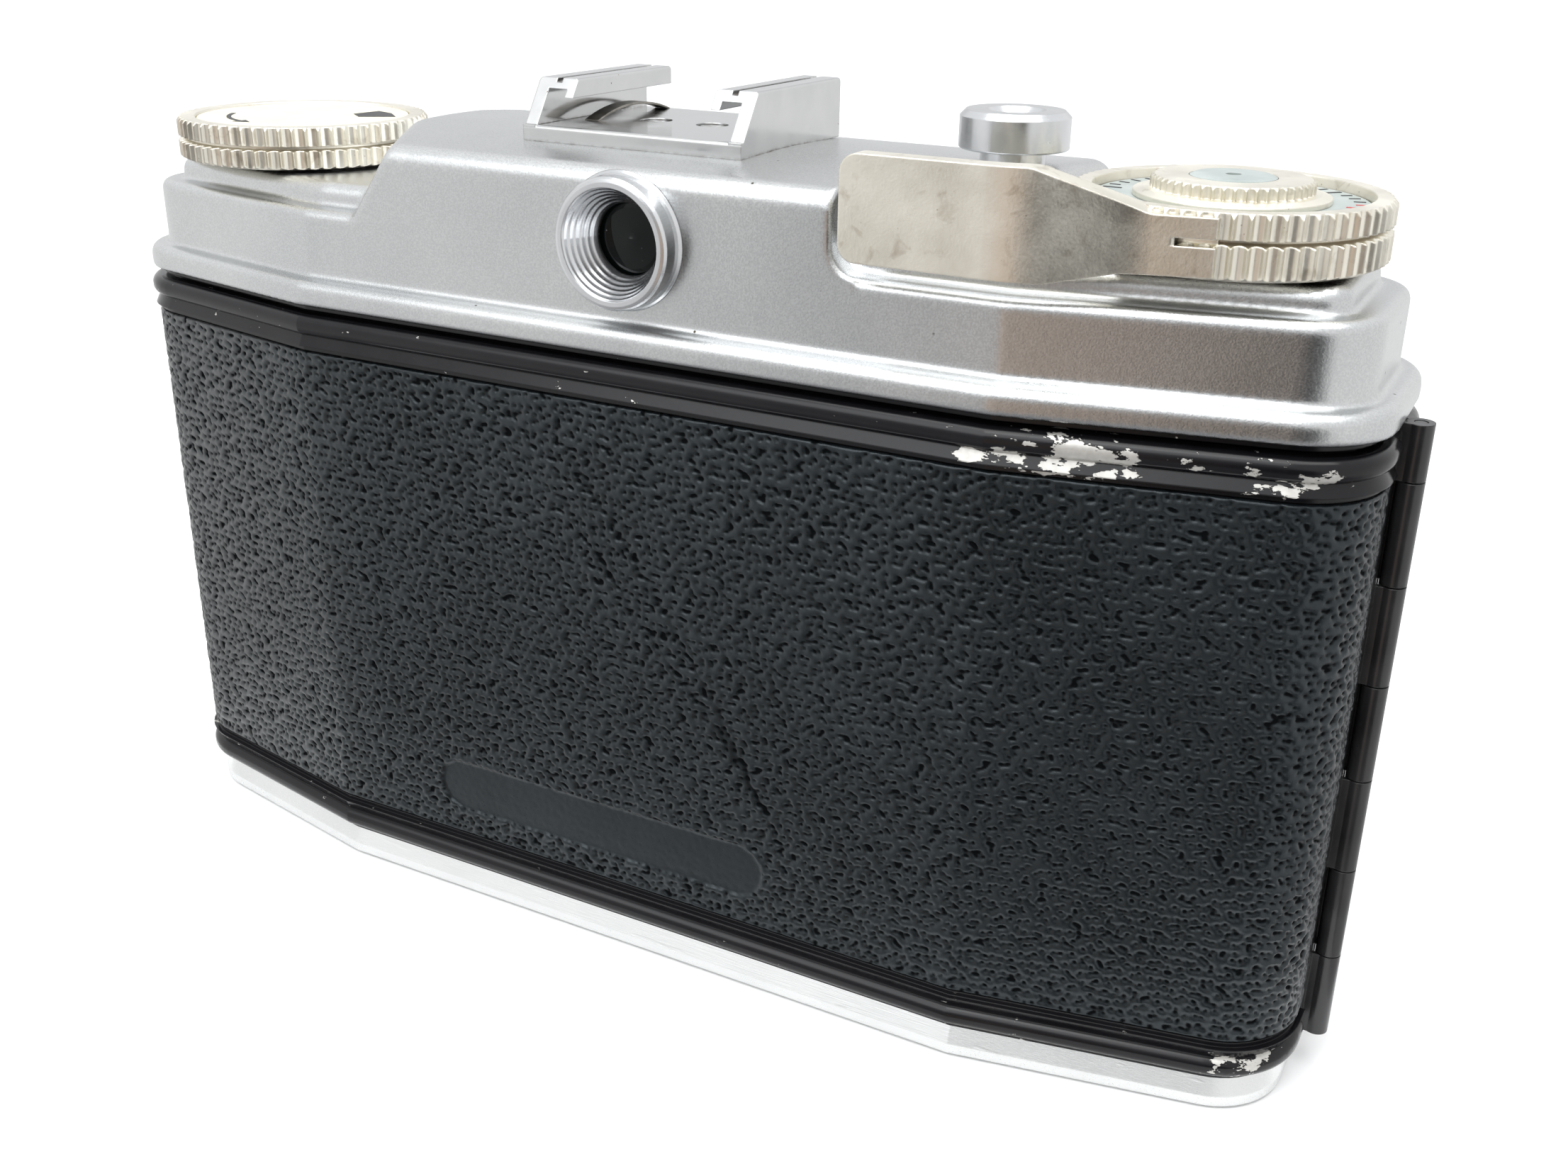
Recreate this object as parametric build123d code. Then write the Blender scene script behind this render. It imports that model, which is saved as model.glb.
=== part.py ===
from build123d import *
import os
from math import asin, cos, degrees, pi, radians, sin

# A strut-folding 35 mm camera, opened for use. Millimetres, +Z up. The lens looks along -Y and the
# back door is on +Y. The origin is the mouth of the tripod bush, in the middle of the base.

# ---- driving dimensions -------------------------------------------------------------------------
WALL_X = 61.7  # half width of the top cover's wall
WALL_Y = 15.0  # half depth of the top cover's wall
FLAT_X = 35.1  # half length of the straight middle of the back and of the front
END_SLOPE = 0.197  # how fast the ends of the back fall away past the straight middle
CORNER = 6.0  # plan radius of the four corners

# Offsets of the other skins from the top cover's wall
FLANGE = 1.9
BEAD = 2.2
LEATHER = 1.8
SHEET = 1.3
DOOR_INSIDE = 0.2
UNDER_DOOR = -0.7
BASE = 1.2
GAP_PLATE = 0.8

# Heights
Z_BASE = 3.0
Z_BEAD_LOW = 3.8
Z_LEATHER_LOW = 7.5
Z_LEATHER_TOP = 56.6
Z_BEAD_TOP = 60.2
Z_COVER = 61.0
Z_FLANGE = 63.5
Z_LEDGE = 69.9
Z_DECK = 72.0
Z_HUMP = 77.25
COVER_WALL = 1.2

SPLIT = 0.4  # half the gap between the door and the front half of the body, about Y = 0
KNOB_X = 47.9  # half distance between the two top wheels
KNOB_Y = 0.2

HINGE_X = -64.55
HINGE_R = 1.1
HINGE_BORE = 0.55
HINGE_LOW = 3.2
HINGE_TOP = 60.9
KNUCKLE = 8.9
HINGE_CLEAR = 2.9  # the leather and the beads stop this far each side of the hinge axis
TOP_KNUCKLE = 4.8

CAVITY_X = 31.2  # well behind the lens board
CAVITY_LOW = 8.5
CAVITY_TOP = 54.5
GATE_FRONT = 7.5
FILM_PLANE = 9.5
AXIS_Z = 31.5  # optical axis
FRAME_W, FRAME_H = 36.0, 24.0
CHAMBER_R = 12.4
CHAMBER_LOW, CHAMBER_TOP = 6.5, 56.5
BOX_X = 32.6  # outside of the strut box that lines the well
SLOT_DEEP = 1.2  # depth of the pin slots in its cheeks
BLOCK_FRONT = -13.0  # front of the base block that holds the tripod bush

STRUT = 38.0  # between the two end pivots of a strut arm
STRUT_OPEN = 55.4  # lean of the arms from upright, open
STRUT_SHUT = 8.0  # and folded
PIVOT_Y, PIVOT_Z = 2.2, 12.0
ARM_W, ARM_T = 5.0, 1.0
ARM_A_X, ARM_B_X, EAR_X = 28.0, 26.6, 29.4  # inner faces of the two arms and of the lens board's ear
PIN_R, PIN_BORE = 1.0, 1.06

REACH = STRUT * sin(radians(STRUT_OPEN))
RISE = STRUT * cos(radians(STRUT_OPEN))
RISE_SHUT = STRUT * cos(radians(STRUT_SHUT))
BOARD_PIVOT_Y = PIVOT_Y - REACH
BOARD_T = 1.6
BOARD_BACK = BOARD_PIVOT_Y - 5.0
BOARD_FRONT = BOARD_BACK - BOARD_T

SHUTTER_R = 21.5
SHUTTER_DEEP = 11.5

SHOE_SCREWS = (0.0, 6.0)
TRIPOD_R = 3.175
TRIPOD_DEEP = 5.2
BUSH_R = 5.4
BUSH_NECK = 4.2
BASE_SCREWS = [(-44.0, -8.0), (44.0, -8.0), (-44.0, 8.0), (44.0, 8.0)]
SPROCKET_X, SPROCKET_Y = -36.4, 8.6
FOLD_BUTTON_X, FOLD_BUTTON_Z = 38.5, 47.0
LATCH_Y, LATCH_Z = -6.0, 30.0
TEETH = 62

NODES = {}


def keep(name, *solids):
    """Store one node, which may be a group of separate solids."""
    NODES[name] = solids[0] if len(solids) == 1 else Compound(children=list(solids))


def block(x0, x1, y0, y1, z0, z1):
    return Pos((x0 + x1) / 2, (y0 + y1) / 2, (z0 + z1) / 2) * Box(x1 - x0, y1 - y0, z1 - z0)


def upright(x, y, z0, z1, r):
    return Pos(x, y, (z0 + z1) / 2) * Cylinder(r, z1 - z0)


def fore_aft(x, z, y0, y1, r):
    return Pos(x, (y0 + y1) / 2, z) * Rot(90, 0, 0) * Cylinder(r, y1 - y0)


def crosswise(y, z, x0, x1, r):
    return Pos((x0 + x1) / 2, y, z) * Rot(0, 90, 0) * Cylinder(r, x1 - x0)


def turned(*points):
    """Solid of revolution about Z from (radius, height) points."""
    return revolve(Plane.XZ * make_face(Polyline(*points, close=True)), Axis.Z)


def on_lens_axis(solid):
    """Put a piece turned about Z on the optical axis, its height running forward of the lens board."""
    return Pos(0, BOARD_FRONT, AXIS_Z) * Rot(90, 0, 0) * solid


def ring(r_in, r_out, h0, h1):
    return turned((r_in, h0), (r_out, h0), (r_out, h1), (r_in, h1))


def toothed(r, depth, teeth, h0, h1):
    """Disc with straight knurling: sharp ridges and hollow valleys, for cutting down to a knob."""
    points = []
    for i in range(teeth):
        for part, cut in ((0.0, 0.0), (0.2, 0.75), (0.5, 1.0), (0.8, 0.75)):
            a, radius = 2 * pi * (i + part) / teeth, r - cut * depth
            points.append((radius * cos(a), radius * sin(a)))
    return Pos(0, 0, h0) * extrude(make_face(Polyline(*points, close=True)), h1 - h0)


def outline(grow, corner=CORNER):
    """Plan of the camera: straight middle, ends that fall away, rounded corners."""
    x, y = WALL_X + grow, WALL_Y + grow
    end = y - END_SLOPE * (x - FLAT_X)
    right = [(FLAT_X, y), (x, end), (x, -end), (FLAT_X, -y)]
    points = right + [(-px, py) for px, py in reversed(right)]
    face = make_face(Polyline(*points, close=True))
    corners = [v for v in face.vertices() if abs(v.X) > FLAT_X + 1]
    return fillet(corners, corner + grow)


def prism(grow, z0, z1, corner=CORNER):
    return Pos(0, 0, z0) * extrude(outline(grow, corner), z1 - z0)


def back_half(y=SPLIT):
    return block(-80, 80, y, 40, -10, 100)


def front_half(y=-SPLIT):
    return block(-80, 80, -40, y, -10, 100)


def soften(solid, radius, z):
    """Round the edges that lie at height z."""
    level = [e for e in solid.edges() if abs(e.center().Z - z) < 0.02]
    return fillet([e for e in level if e.bounding_box().size.Z < 0.02], radius)


# ---- top cover ------------------------------------------------------------------------------------
HUMP_LEFT = [(22.8, WALL_Y), (30.2, 3.0), (31.4, -8.0), (30.2, -WALL_Y)]
HUMP_RIGHT = [(-33.0, -WALL_Y), (-33.4, -8.0), (-33.0, 3.0), (-26.0, WALL_Y)]
HUMP_LEAN_LEFT, HUMP_LEAN_RIGHT = 7.0, 2.4
RECESS_X, RECESS_Y = -20.4, 10.5  # where the lever's tab lies
EYE_X, EYE_Z = -0.9, 70.6
RELEASE_X, RELEASE_Y = -29.3, -1.0
SHOE_X0, SHOE_X1 = -8.3, 14.3
SHOE_Y0, SHOE_Y1 = -10.9, 7.8
SHOE_Z = 77.0
WINDOW_Z0, WINDOW_Z1 = 66.0, 74.6
WINDOW_X0, WINDOW_X1 = -8.5, 6.5
RANGE_X, RANGE_R = 24.0, 3.0


def hump(inset, top):
    """Raised middle of the cover. Its flanks lean, more on the rewind side."""
    y = WALL_Y - inset

    def section(z, spread):
        left = [(x - inset + spread * HUMP_LEAN_LEFT, max(-y, min(y, py))) for x, py in HUMP_LEFT]
        right = [(x + inset - spread * HUMP_LEAN_RIGHT, max(-y, min(y, py))) for x, py in HUMP_RIGHT]
        face = make_face(Polyline(*left, *right, close=True))
        return Pos(0, 0, z) * fillet([v for v in face.vertices() if abs(v.Y) < y - 1], 6.0)

    low = Z_LEDGE - 1.5
    body = loft([section(low, 1.0), section(Z_HUMP + 1, -0.02)], ruled=True)
    crown = 140.0
    return body & crosswise(0, top - crown, -60, 60, crown)


def make_top_cover():
    wall = soften(prism(0, Z_COVER, Z_LEDGE), 0.9, Z_LEDGE)
    flange = soften(prism(FLANGE, Z_COVER, Z_FLANGE), 1.1, Z_FLANGE)
    flange = soften(flange, 0.3, Z_COVER)
    deck = soften(prism(-2.6, Z_LEDGE - 2, Z_DECK, 5.0), 1.3, Z_DECK)
    raised = hump(0, Z_HUMP)
    raised = fillet([e for e in raised.edges() if e.center().Z > 76.0], 1.7)
    recess = block(-70, RECESS_X, RECESS_Y, 20, Z_LEDGE, 90)
    cove = fillet(recess.edges().filter_by(Axis.Y).sort_by(Axis.X)[-2:].sort_by(Axis.Z)[:1], 2.2)
    recess = cove & fillet(recess.edges().filter_by(Axis.Z).sort_by(Axis.X)[-2:].sort_by(Axis.Y)[:1], 2.5)
    recess += block(-70, RECESS_X - 2.2, RECESS_Y, 20, Z_LEDGE - 1.5, Z_LEDGE)
    raised -= recess
    outer = wall + flange + deck + raised
    inner = prism(-COVER_WALL, Z_COVER - 1, Z_LEDGE - COVER_WALL)
    inner += prism(-2.6 - COVER_WALL, Z_LEDGE - 3, Z_DECK - COVER_WALL, 4.0)
    step = Pos(COVER_WALL, -COVER_WALL, -COVER_WALL) * recess
    inner += hump(COVER_WALL, Z_HUMP - COVER_WALL - 0.3) - step
    cover = outer - inner
    cover -= block(SHOE_X0 - 0.05, SHOE_X1 + 0.05, SHOE_Y0 - 0.05, SHOE_Y1 + 0.05, SHOE_Z, 90)
    cover -= upright(KNOB_X, KNOB_Y, 60, 80, 2.6)
    cover -= upright(-KNOB_X, KNOB_Y, 60, 80, 3.6)
    cover -= upright(RELEASE_X, RELEASE_Y, 70, 90, 3.6)
    cover -= fore_aft(EYE_X, EYE_Z, 5, 20, 4.4)
    cover -= block(WINDOW_X0, WINDOW_X1, -20, -5, WINDOW_Z0, WINDOW_Z1)
    cover -= fore_aft(RANGE_X, EYE_Z, -20, -5, RANGE_R)
    for x in SHOE_SCREWS:
        cover -= upright(x, (SHOE_Y0 + SHOE_Y1) / 2, 70, 90, 0.8)
    keep("top_cover", cover)


# ---- eyepiece and finder --------------------------------------------------------------------------
def make_finder():
    steps, r_mouth, r_bore = 6, 4.75, 3.1
    mouth, depth, seat = 2.2, 2.9, -1.15
    inside = []
    for i in range(steps):
        r0 = r_mouth - (r_mouth - r_bore) * i / steps
        r1 = r_mouth - (r_mouth - r_bore) * (i + 1) / steps
        h = mouth - depth * i / steps
        inside += [(r0, h - 0.08), (r0 - 0.12, h - 0.24), (r1 + 0.06, h - depth / steps + 0.02)]
    profile = [(5.15, mouth), (5.4, mouth - 0.08), (5.58, mouth - 0.35), (5.58, 0.6), (5.7, 0.25), (5.95, 0.02)]
    profile += [(4.35, 0.02), (4.35, seat - 2.1), (3.7, seat - 2.1), (3.7, seat), (r_bore, seat), (r_bore, seat + 0.3)]
    profile += list(reversed(inside)) + [(r_mouth, mouth)]
    place = Pos(EYE_X, WALL_Y, EYE_Z) * Rot(-90, 0, 0)
    keep("eyepiece_ring", place * turned(*profile))
    lens = [(0, seat - 1.75), (3.65, seat - 1.75), (3.65, seat - 0.4), (2.6, seat - 0.2), (0, seat - 0.1)]
    keep("eyepiece_lens", place * turned(*lens))

    x0, x1, z0, z1 = WINDOW_X0 - 1.4, WINDOW_X1 + 1.4, WINDOW_Z0 - 1.2, WINDOW_Z1 + 1.2
    frame = block(x0, x1, -WALL_Y - 0.8, -WALL_Y, z0, z1)
    frame = fillet(frame.edges().filter_by(Axis.Y), 1.2)
    frame -= block(WINDOW_X0, WINDOW_X1, -20, -5, WINDOW_Z0, WINDOW_Z1)
    front = Pos(RANGE_X, -WALL_Y, EYE_Z) * Rot(90, 0, 0)
    keep("finder_bezels", frame, front * ring(RANGE_R, RANGE_R + 1.1, 0, 0.8))
    pane = block(WINDOW_X0 + 0.05, WINDOW_X1 - 0.05, -15.4, -14.2, WINDOW_Z0 + 0.05, WINDOW_Z1 - 0.05)
    small_pane = turned((0, -0.9), (RANGE_R - 0.05, -0.9), (RANGE_R - 0.05, 0.2), (0, 0.4))
    keep("finder_windows", pane, front * small_pane)
    prism_block = block(-6.5, 4.5, -3.5, 7.5, 66.2, 74.8)
    mirror = Pos(RANGE_X, -4, 0) * Rot(0, 0, 45) * block(-4.6, 4.6, -0.6, 0.6, 66.5, 74.5)
    keep("rangefinder_optics", prism_block, mirror)


# ---- accessory shoe -------------------------------------------------------------------------------
def make_shoe():
    wall, lip, overhang = 1.3, 0.9, 4.15
    floor, top, lip_low = SHOE_Z + 1.4, 82.3, 80.7
    shoe = block(SHOE_X0, SHOE_X1, SHOE_Y0, SHOE_Y1, SHOE_Z, floor)
    shoe = fillet(shoe.edges().filter_by(Axis.X).sort_by(Axis.Z)[-2:], 0.35)
    upstand = (0, wall, floor - 0.2, top)
    roof = (0, overhang, top - lip, top)
    curl = (overhang - lip, overhang, lip_low, top)
    for x_out, way in ((SHOE_X0, 1), (SHOE_X1, -1)):
        for a, b, z0, z1 in (upstand, roof, curl):
            x0, x1 = sorted((x_out + way * a, x_out + way * b))
            shoe += block(x0, x1, SHOE_Y0, SHOE_Y1, z0, z1)
        groove = sorted((x_out + way * 1.9, x_out + way * 2.5))
        shoe -= block(*groove, SHOE_Y0, SHOE_Y1, top - 0.4, top)
    y = SHOE_Y1
    slant = make_face(Polyline((y - 0.4, floor), (y + 1, floor), (y + 1, top + 1), (y - 3.7, top + 1), close=True))
    shoe -= Pos(SHOE_X0 - 1, 0, 0) * extrude(Plane.YZ * slant, SHOE_X1 - SHOE_X0 + 2)
    outer = [e for e in shoe.edges().filter_by(Axis.Y) if e.center().Z > top - 0.05]
    shoe = fillet([e for e in outer if abs(e.center().X - 3.0) > 11.0 or abs(e.center().X - 3.0) < 7.5], 0.35)
    mid = (SHOE_Y0 + SHOE_Y1) / 2
    for x in SHOE_SCREWS:
        shoe -= upright(x, mid, 70, 90, 0.8)
        shoe -= upright(x, mid, floor - 0.7, 90, 1.5)
    keep("accessory_shoe", shoe)
    screws = []
    for x in SHOE_SCREWS:
        screw = upright(x, mid, 75.1, floor - 0.7, 0.75)
        screw += upright(x, mid, floor - 0.7, floor - 0.15, 1.4)
        screws.append(screw - block(x - 2, x + 2, mid - 0.2, mid + 0.2, floor - 0.4, floor))
    keep("shoe_screws", *screws)
    arc = ThreePointArc((-6.3, 0.02), (0, 1.1), (6.3, 0.02))
    under = ThreePointArc((5.9, 0.02), (0, 0.88), (-5.9, 0.02))
    leaf = make_face(Wire([arc, Line((6.3, 0.02), (5.9, 0.02)), under, Line((-5.9, 0.02), (-6.3, 0.02))]))
    leaf = extrude(Plane.YZ * leaf, 1.5)
    keep("shoe_spring", Pos(10.0, mid - 2.6, floor) * leaf)


# ---- body casting ---------------------------------------------------------------------------------
def bead(edge, crest_low, crest_high, lip, groove):
    """Frame of the leather: a round rib, and beyond a groove a lip that flares towards the leather."""
    core = prism(BEAD - 0.65, *sorted((edge, (crest_low + crest_high) / 2)))
    rib = prism(BEAD, crest_low, crest_high)
    rib = soften(soften(rib, 0.95, crest_low), 0.95, crest_high)
    flare = loft([Pos(0, 0, lip) * outline(BEAD - 0.1), Pos(0, 0, groove) * outline(BEAD - 0.65)], ruled=True)
    return core + rib + flare


def beads(half):
    """Upper and lower bead of one half of the body, cut away where the hinge lies."""
    both = bead(Z_LEATHER_TOP + 0.1, Z_BEAD_TOP - 2.05, Z_BEAD_TOP, Z_LEATHER_TOP + 0.6, Z_BEAD_TOP - 1.9)
    both += bead(Z_LEATHER_LOW - 0.1, Z_BEAD_LOW, Z_BEAD_LOW + 2.05, Z_LEATHER_LOW - 0.6, Z_BEAD_LOW + 1.9)
    hinge_side = block(-70, -WALL_X - SHEET, -HINGE_CLEAR, HINGE_CLEAR, 0, 70)
    return (both & half) - hinge_side


def recessed(low, high):
    """What to take away so that the body steps in to the black gap between two heights."""
    return prism(3.5, low, high) - prism(GAP_PLATE, low, high)


def latch_slot(x0):
    return block(x0, 70, LATCH_Y - 1.2, LATCH_Y + 1.2, LATCH_Z - 2.0, LATCH_Z + 5.2)


def make_body_casting():
    body = prism(SHEET, Z_BASE, Z_COVER) & front_half()
    body += beads(front_half())
    body -= recessed(Z_BEAD_TOP, Z_COVER)
    body -= recessed(Z_BASE, Z_BEAD_LOW)
    body += prism(UNDER_DOOR, Z_BASE, Z_COVER) & back_half(-SPLIT - 1)
    body += prism(GAP_PLATE, Z_COVER - 0.5, Z_COVER)
    body += prism(GAP_PLATE, Z_BASE, Z_BASE + 0.5)
    base_block = body & block(-BOX_X, BOX_X, BLOCK_FRONT, 20, Z_BASE, CHAMBER_LOW)
    body -= block(-BOX_X, BOX_X, BLOCK_FRONT, 20, Z_BASE, CHAMBER_LOW)
    body -= block(-BOX_X, BOX_X, -20, 20, CHAMBER_LOW, CHAMBER_TOP)
    body -= block(-60.3, 60.3, FILM_PLANE, 20, 8.0, 55.0)
    for side in (-1, 1):
        x = side * KNOB_X
        body -= upright(x, KNOB_Y, CHAMBER_LOW, CHAMBER_TOP, CHAMBER_R)
        body -= block(x - CHAMBER_R, x + CHAMBER_R, KNOB_Y, 20, CHAMBER_LOW, CHAMBER_TOP)
    body -= upright(KNOB_X, KNOB_Y, CHAMBER_TOP - 1, Z_COVER + 1, 3.4)
    body -= upright(-KNOB_X, KNOB_Y, CHAMBER_TOP - 1, Z_COVER + 1, 3.08)
    body -= upright(-KNOB_X, KNOB_Y, 4.5, CHAMBER_LOW + 1, 2.08)
    body -= upright(SPROCKET_X, SPROCKET_Y, CHAMBER_LOW, CHAMBER_TOP, 3.6)
    body -= upright(SPROCKET_X, SPROCKET_Y, 4.6, 58.4, 1.28)
    body -= fore_aft(FOLD_BUTTON_X, FOLD_BUTTON_Z, -20, -10.5, 2.3)
    body -= latch_slot(61.0)
    for x, y in BASE_SCREWS:
        body -= upright(x, y, 0, 6.0, 1.0)
    keep("body_casting", body)
    keep("base_block", base_block - upright(0, 0, 0, 10, BUSH_NECK))


def make_strut_box():
    """Box behind the lens board. Its back is the film gate, and its cheeks guide the strut pins."""
    box = block(-BOX_X, BOX_X, -WALL_Y - SHEET, FILM_PLANE, CHAMBER_LOW, CHAMBER_TOP)
    box -= block(-CAVITY_X, CAVITY_X, -20, GATE_FRONT, CAVITY_LOW, CAVITY_TOP)
    half_w, half_h = FRAME_W / 2, FRAME_H / 2
    box -= block(-half_w, half_w, 5, 20, AXIS_Z - half_h, AXIS_Z + half_h)
    slot_low, slot_high = PIVOT_Z + RISE - 1.6, PIVOT_Z + RISE_SHUT + 1.6
    for side in (-1, 1):
        x0, x1 = sorted((side * CAVITY_X, side * (CAVITY_X + SLOT_DEEP)))
        box -= block(x0, x1, PIVOT_Y - 1.3, PIVOT_Y + 1.3, slot_low, slot_high)
    keep("strut_box", box)
    trim = block(-34.3, 34.3, -17.5, -WALL_Y - SHEET, Z_LEATHER_LOW + 0.1, Z_LEATHER_TOP - 0.1)
    trim = fillet(trim.edges().filter_by(Axis.Y), 2.0)
    trim -= block(-CAVITY_X, CAVITY_X, -20, 0, CAVITY_LOW, CAVITY_TOP)
    trim = chamfer([e for e in trim.edges() if e.center().Y < -17.49], 0.3)
    keep("front_trim", trim)


def make_leather():
    skin = prism(LEATHER, Z_LEATHER_LOW, Z_LEATHER_TOP) - prism(SHEET + 0.02, 0, 70)
    hinge_side = block(-70, -62, -HINGE_CLEAR, HINGE_CLEAR, 0, 70)
    keep("back_leather", (skin & back_half(0.9)) - hinge_side)
    front = (skin & front_half(-0.9)) - hinge_side
    front -= latch_slot(61.0)
    front -= fore_aft(FOLD_BUTTON_X, FOLD_BUTTON_Z, -20, -10.5, 3.6)
    left, right = block(34.5, 70, -30, 0, 0, 70), block(-70, -34.5, -30, 0, 0, 70)
    keep("front_leather", front & left, front & right)


def make_base():
    plate = prism(BASE, 0, Z_BASE)
    plate = chamfer([e for e in plate.edges() if abs(e.center().Z - Z_BASE) < 0.02], 1.8, 0.9)
    plate = soften(plate, 0.4, 0)
    plate -= upright(0, 0, -1, 10, BUSH_R)
    for x, y in BASE_SCREWS:
        plate -= upright(x, y, -1, 10, 1.1)
        plate -= upright(x, y, -1, 0.9, 2.1)
    keep("bottom_plate", plate)
    flange, neck, top = BUSH_R - 0.05, BUSH_NECK - 0.1, 6.4
    bush = turned((TRIPOD_R, 0), (flange, 0), (flange, 2.95), (neck, 2.95), (neck, top), (0, top),
                  (0, TRIPOD_DEEP), (TRIPOD_R, TRIPOD_DEEP))
    keep("tripod_bush", bush)
    screws = []
    for x, y in BASE_SCREWS:
        screw = upright(x, y, 0.15, 0.85, 2.0) + upright(x, y, 0.85, 5.6, 0.95)
        screws.append(screw - block(x - 3, x + 3, y - 0.25, y + 0.25, -1, 0.45))
    keep("base_screws", *screws)


# ---- back door ------------------------------------------------------------------------------------
def make_back_door():
    shell = prism(SHEET, Z_BEAD_LOW, Z_BEAD_TOP) & back_half()
    shell += beads(back_half())
    shell -= prism(DOOR_INSIDE, 0, 80)
    keep("back_door", shell)
    plate = block(-29.0, 29.0, FILM_PLANE + 0.3, FILM_PLANE + 1.3, 15.0, 48.0)
    keep("pressure_plate", fillet(plate.edges().filter_by(Axis.Y), 2.0))
    rise = WALL_Y + DOOR_INSIDE - (FILM_PLANE + 1.3) - 0.06
    springs = []
    for z in (22.0, 36.0):
        arc = ThreePointArc((-20, 0), (0, rise), (20, 0))
        under = ThreePointArc((19.0, 0), (0, rise - 0.3), (-19.0, 0))
        leaf = make_face(Wire([arc, Line((20, 0), (19.0, 0)), under, Line((-19.0, 0), (-20, 0))]))
        springs.append(Pos(0, FILM_PLANE + 1.33, z) * extrude(leaf, 5.0))
    keep("pressure_springs", *springs)
    lug = block(62.9, 64.4, 1.2, 4.0, LATCH_Z - 6.4, LATCH_Z - 3.4)
    keep("door_catch", lug - prism(LEATHER, 0, 70))


def make_latch():
    plate = block(63.8, 64.8, LATCH_Y - 2.6, LATCH_Y + 2.6, LATCH_Z - 4, LATCH_Z + 4)
    plate = fillet(plate.edges().filter_by(Axis.X), 1.2)
    for i in range(4):
        plate -= block(64.5, 65, LATCH_Y - 3, LATCH_Y + 3, LATCH_Z - 2.3 + i * 1.4, LATCH_Z - 1.8 + i * 1.4)
    plate += block(63.8, 64.5, LATCH_Y + 2, 3.2, LATCH_Z - 2.8, LATCH_Z - 0.8)
    plate += block(61.4, 64.0, LATCH_Y - 0.8, LATCH_Y + 0.8, LATCH_Z - 1.6, LATCH_Z + 1.6)
    keep("door_latch", plate)


def make_hinge():
    joints = [HINGE_TOP, HINGE_TOP - TOP_KNUCKLE]
    while joints[-1] - KNUCKLE > HINGE_LOW - 0.5:
        joints.append(joints[-1] - KNUCKLE)
    joints[-1] = HINGE_LOW
    leaves = {1: [], -1: []}
    for i, (high, low) in enumerate(zip(joints, joints[1:])):
        side = 1 if i % 2 == 0 else -1
        knuckle = upright(HINGE_X, 0, low + 0.06, high - 0.06, HINGE_R)
        y0, y1 = sorted((side * 0.5, side * 0.95))
        web = block(HINGE_X + 0.3, HINGE_X + 1.54, y0, y1, low + 0.06, high - 0.06)
        leaves[side].append((knuckle + web) - upright(HINGE_X, 0, 0, 70, HINGE_BORE))
    for side, name in ((1, "door_hinge_leaf"), (-1, "body_hinge_leaf")):
        low = Z_BEAD_LOW + 0.1 if side == 1 else Z_BASE + 0.9
        y0, y1 = sorted((side * 0.5, side * (HINGE_CLEAR - 0.1)))
        leaf = block(HINGE_X + 1.2, HINGE_X + 1.54, y0, y1, low, Z_BEAD_TOP - 0.1)
        for knuckle in leaves[side]:
            leaf += knuckle
        keep(name, leaf)
    keep("hinge_pin", upright(HINGE_X, 0, HINGE_LOW + 0.1, HINGE_TOP - 0.1, HINGE_BORE - 0.05))


# ---- rewind side ----------------------------------------------------------------------------------
def make_rewind():
    r, low, high = 12.5, 72.3, 76.35
    form = turned((0, low), (r - 0.7, low), (r, low + 0.35), (r, 74.05), (r - 0.9, 74.25), (r - 0.9, 74.5),
                  (r, 74.6), (r, high - 0.35), (r - 0.3, high), (10.75, high), (10.6, high - 0.45),
                  (0, high - 0.45))
    knob = form & toothed(r, 0.55, TEETH, low - 1, high + 1)
    knob -= upright(0, 0, low - 1, high, 1.9)
    place = Pos(KNOB_X, KNOB_Y, 0)
    keep("rewind_knob", place * knob)
    disc = turned((0, high - 0.45), (10.55, high - 0.45), (10.55, high - 0.2), (0, high - 0.2))
    keep("rewind_disc", place * disc)
    shaft = upright(0, 0, 52.0, 60.0, 1.9) + upright(0, 0, 59.0, high - 0.5, 1.88)
    shaft += block(-3.1, 3.1, -0.6, 0.6, 49.0, 55.0)
    keep("rewind_shaft", place * shaft)
    keep("rewind_sleeve", place * ring(1.96, 3.0, 61.6, 64.2))


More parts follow.
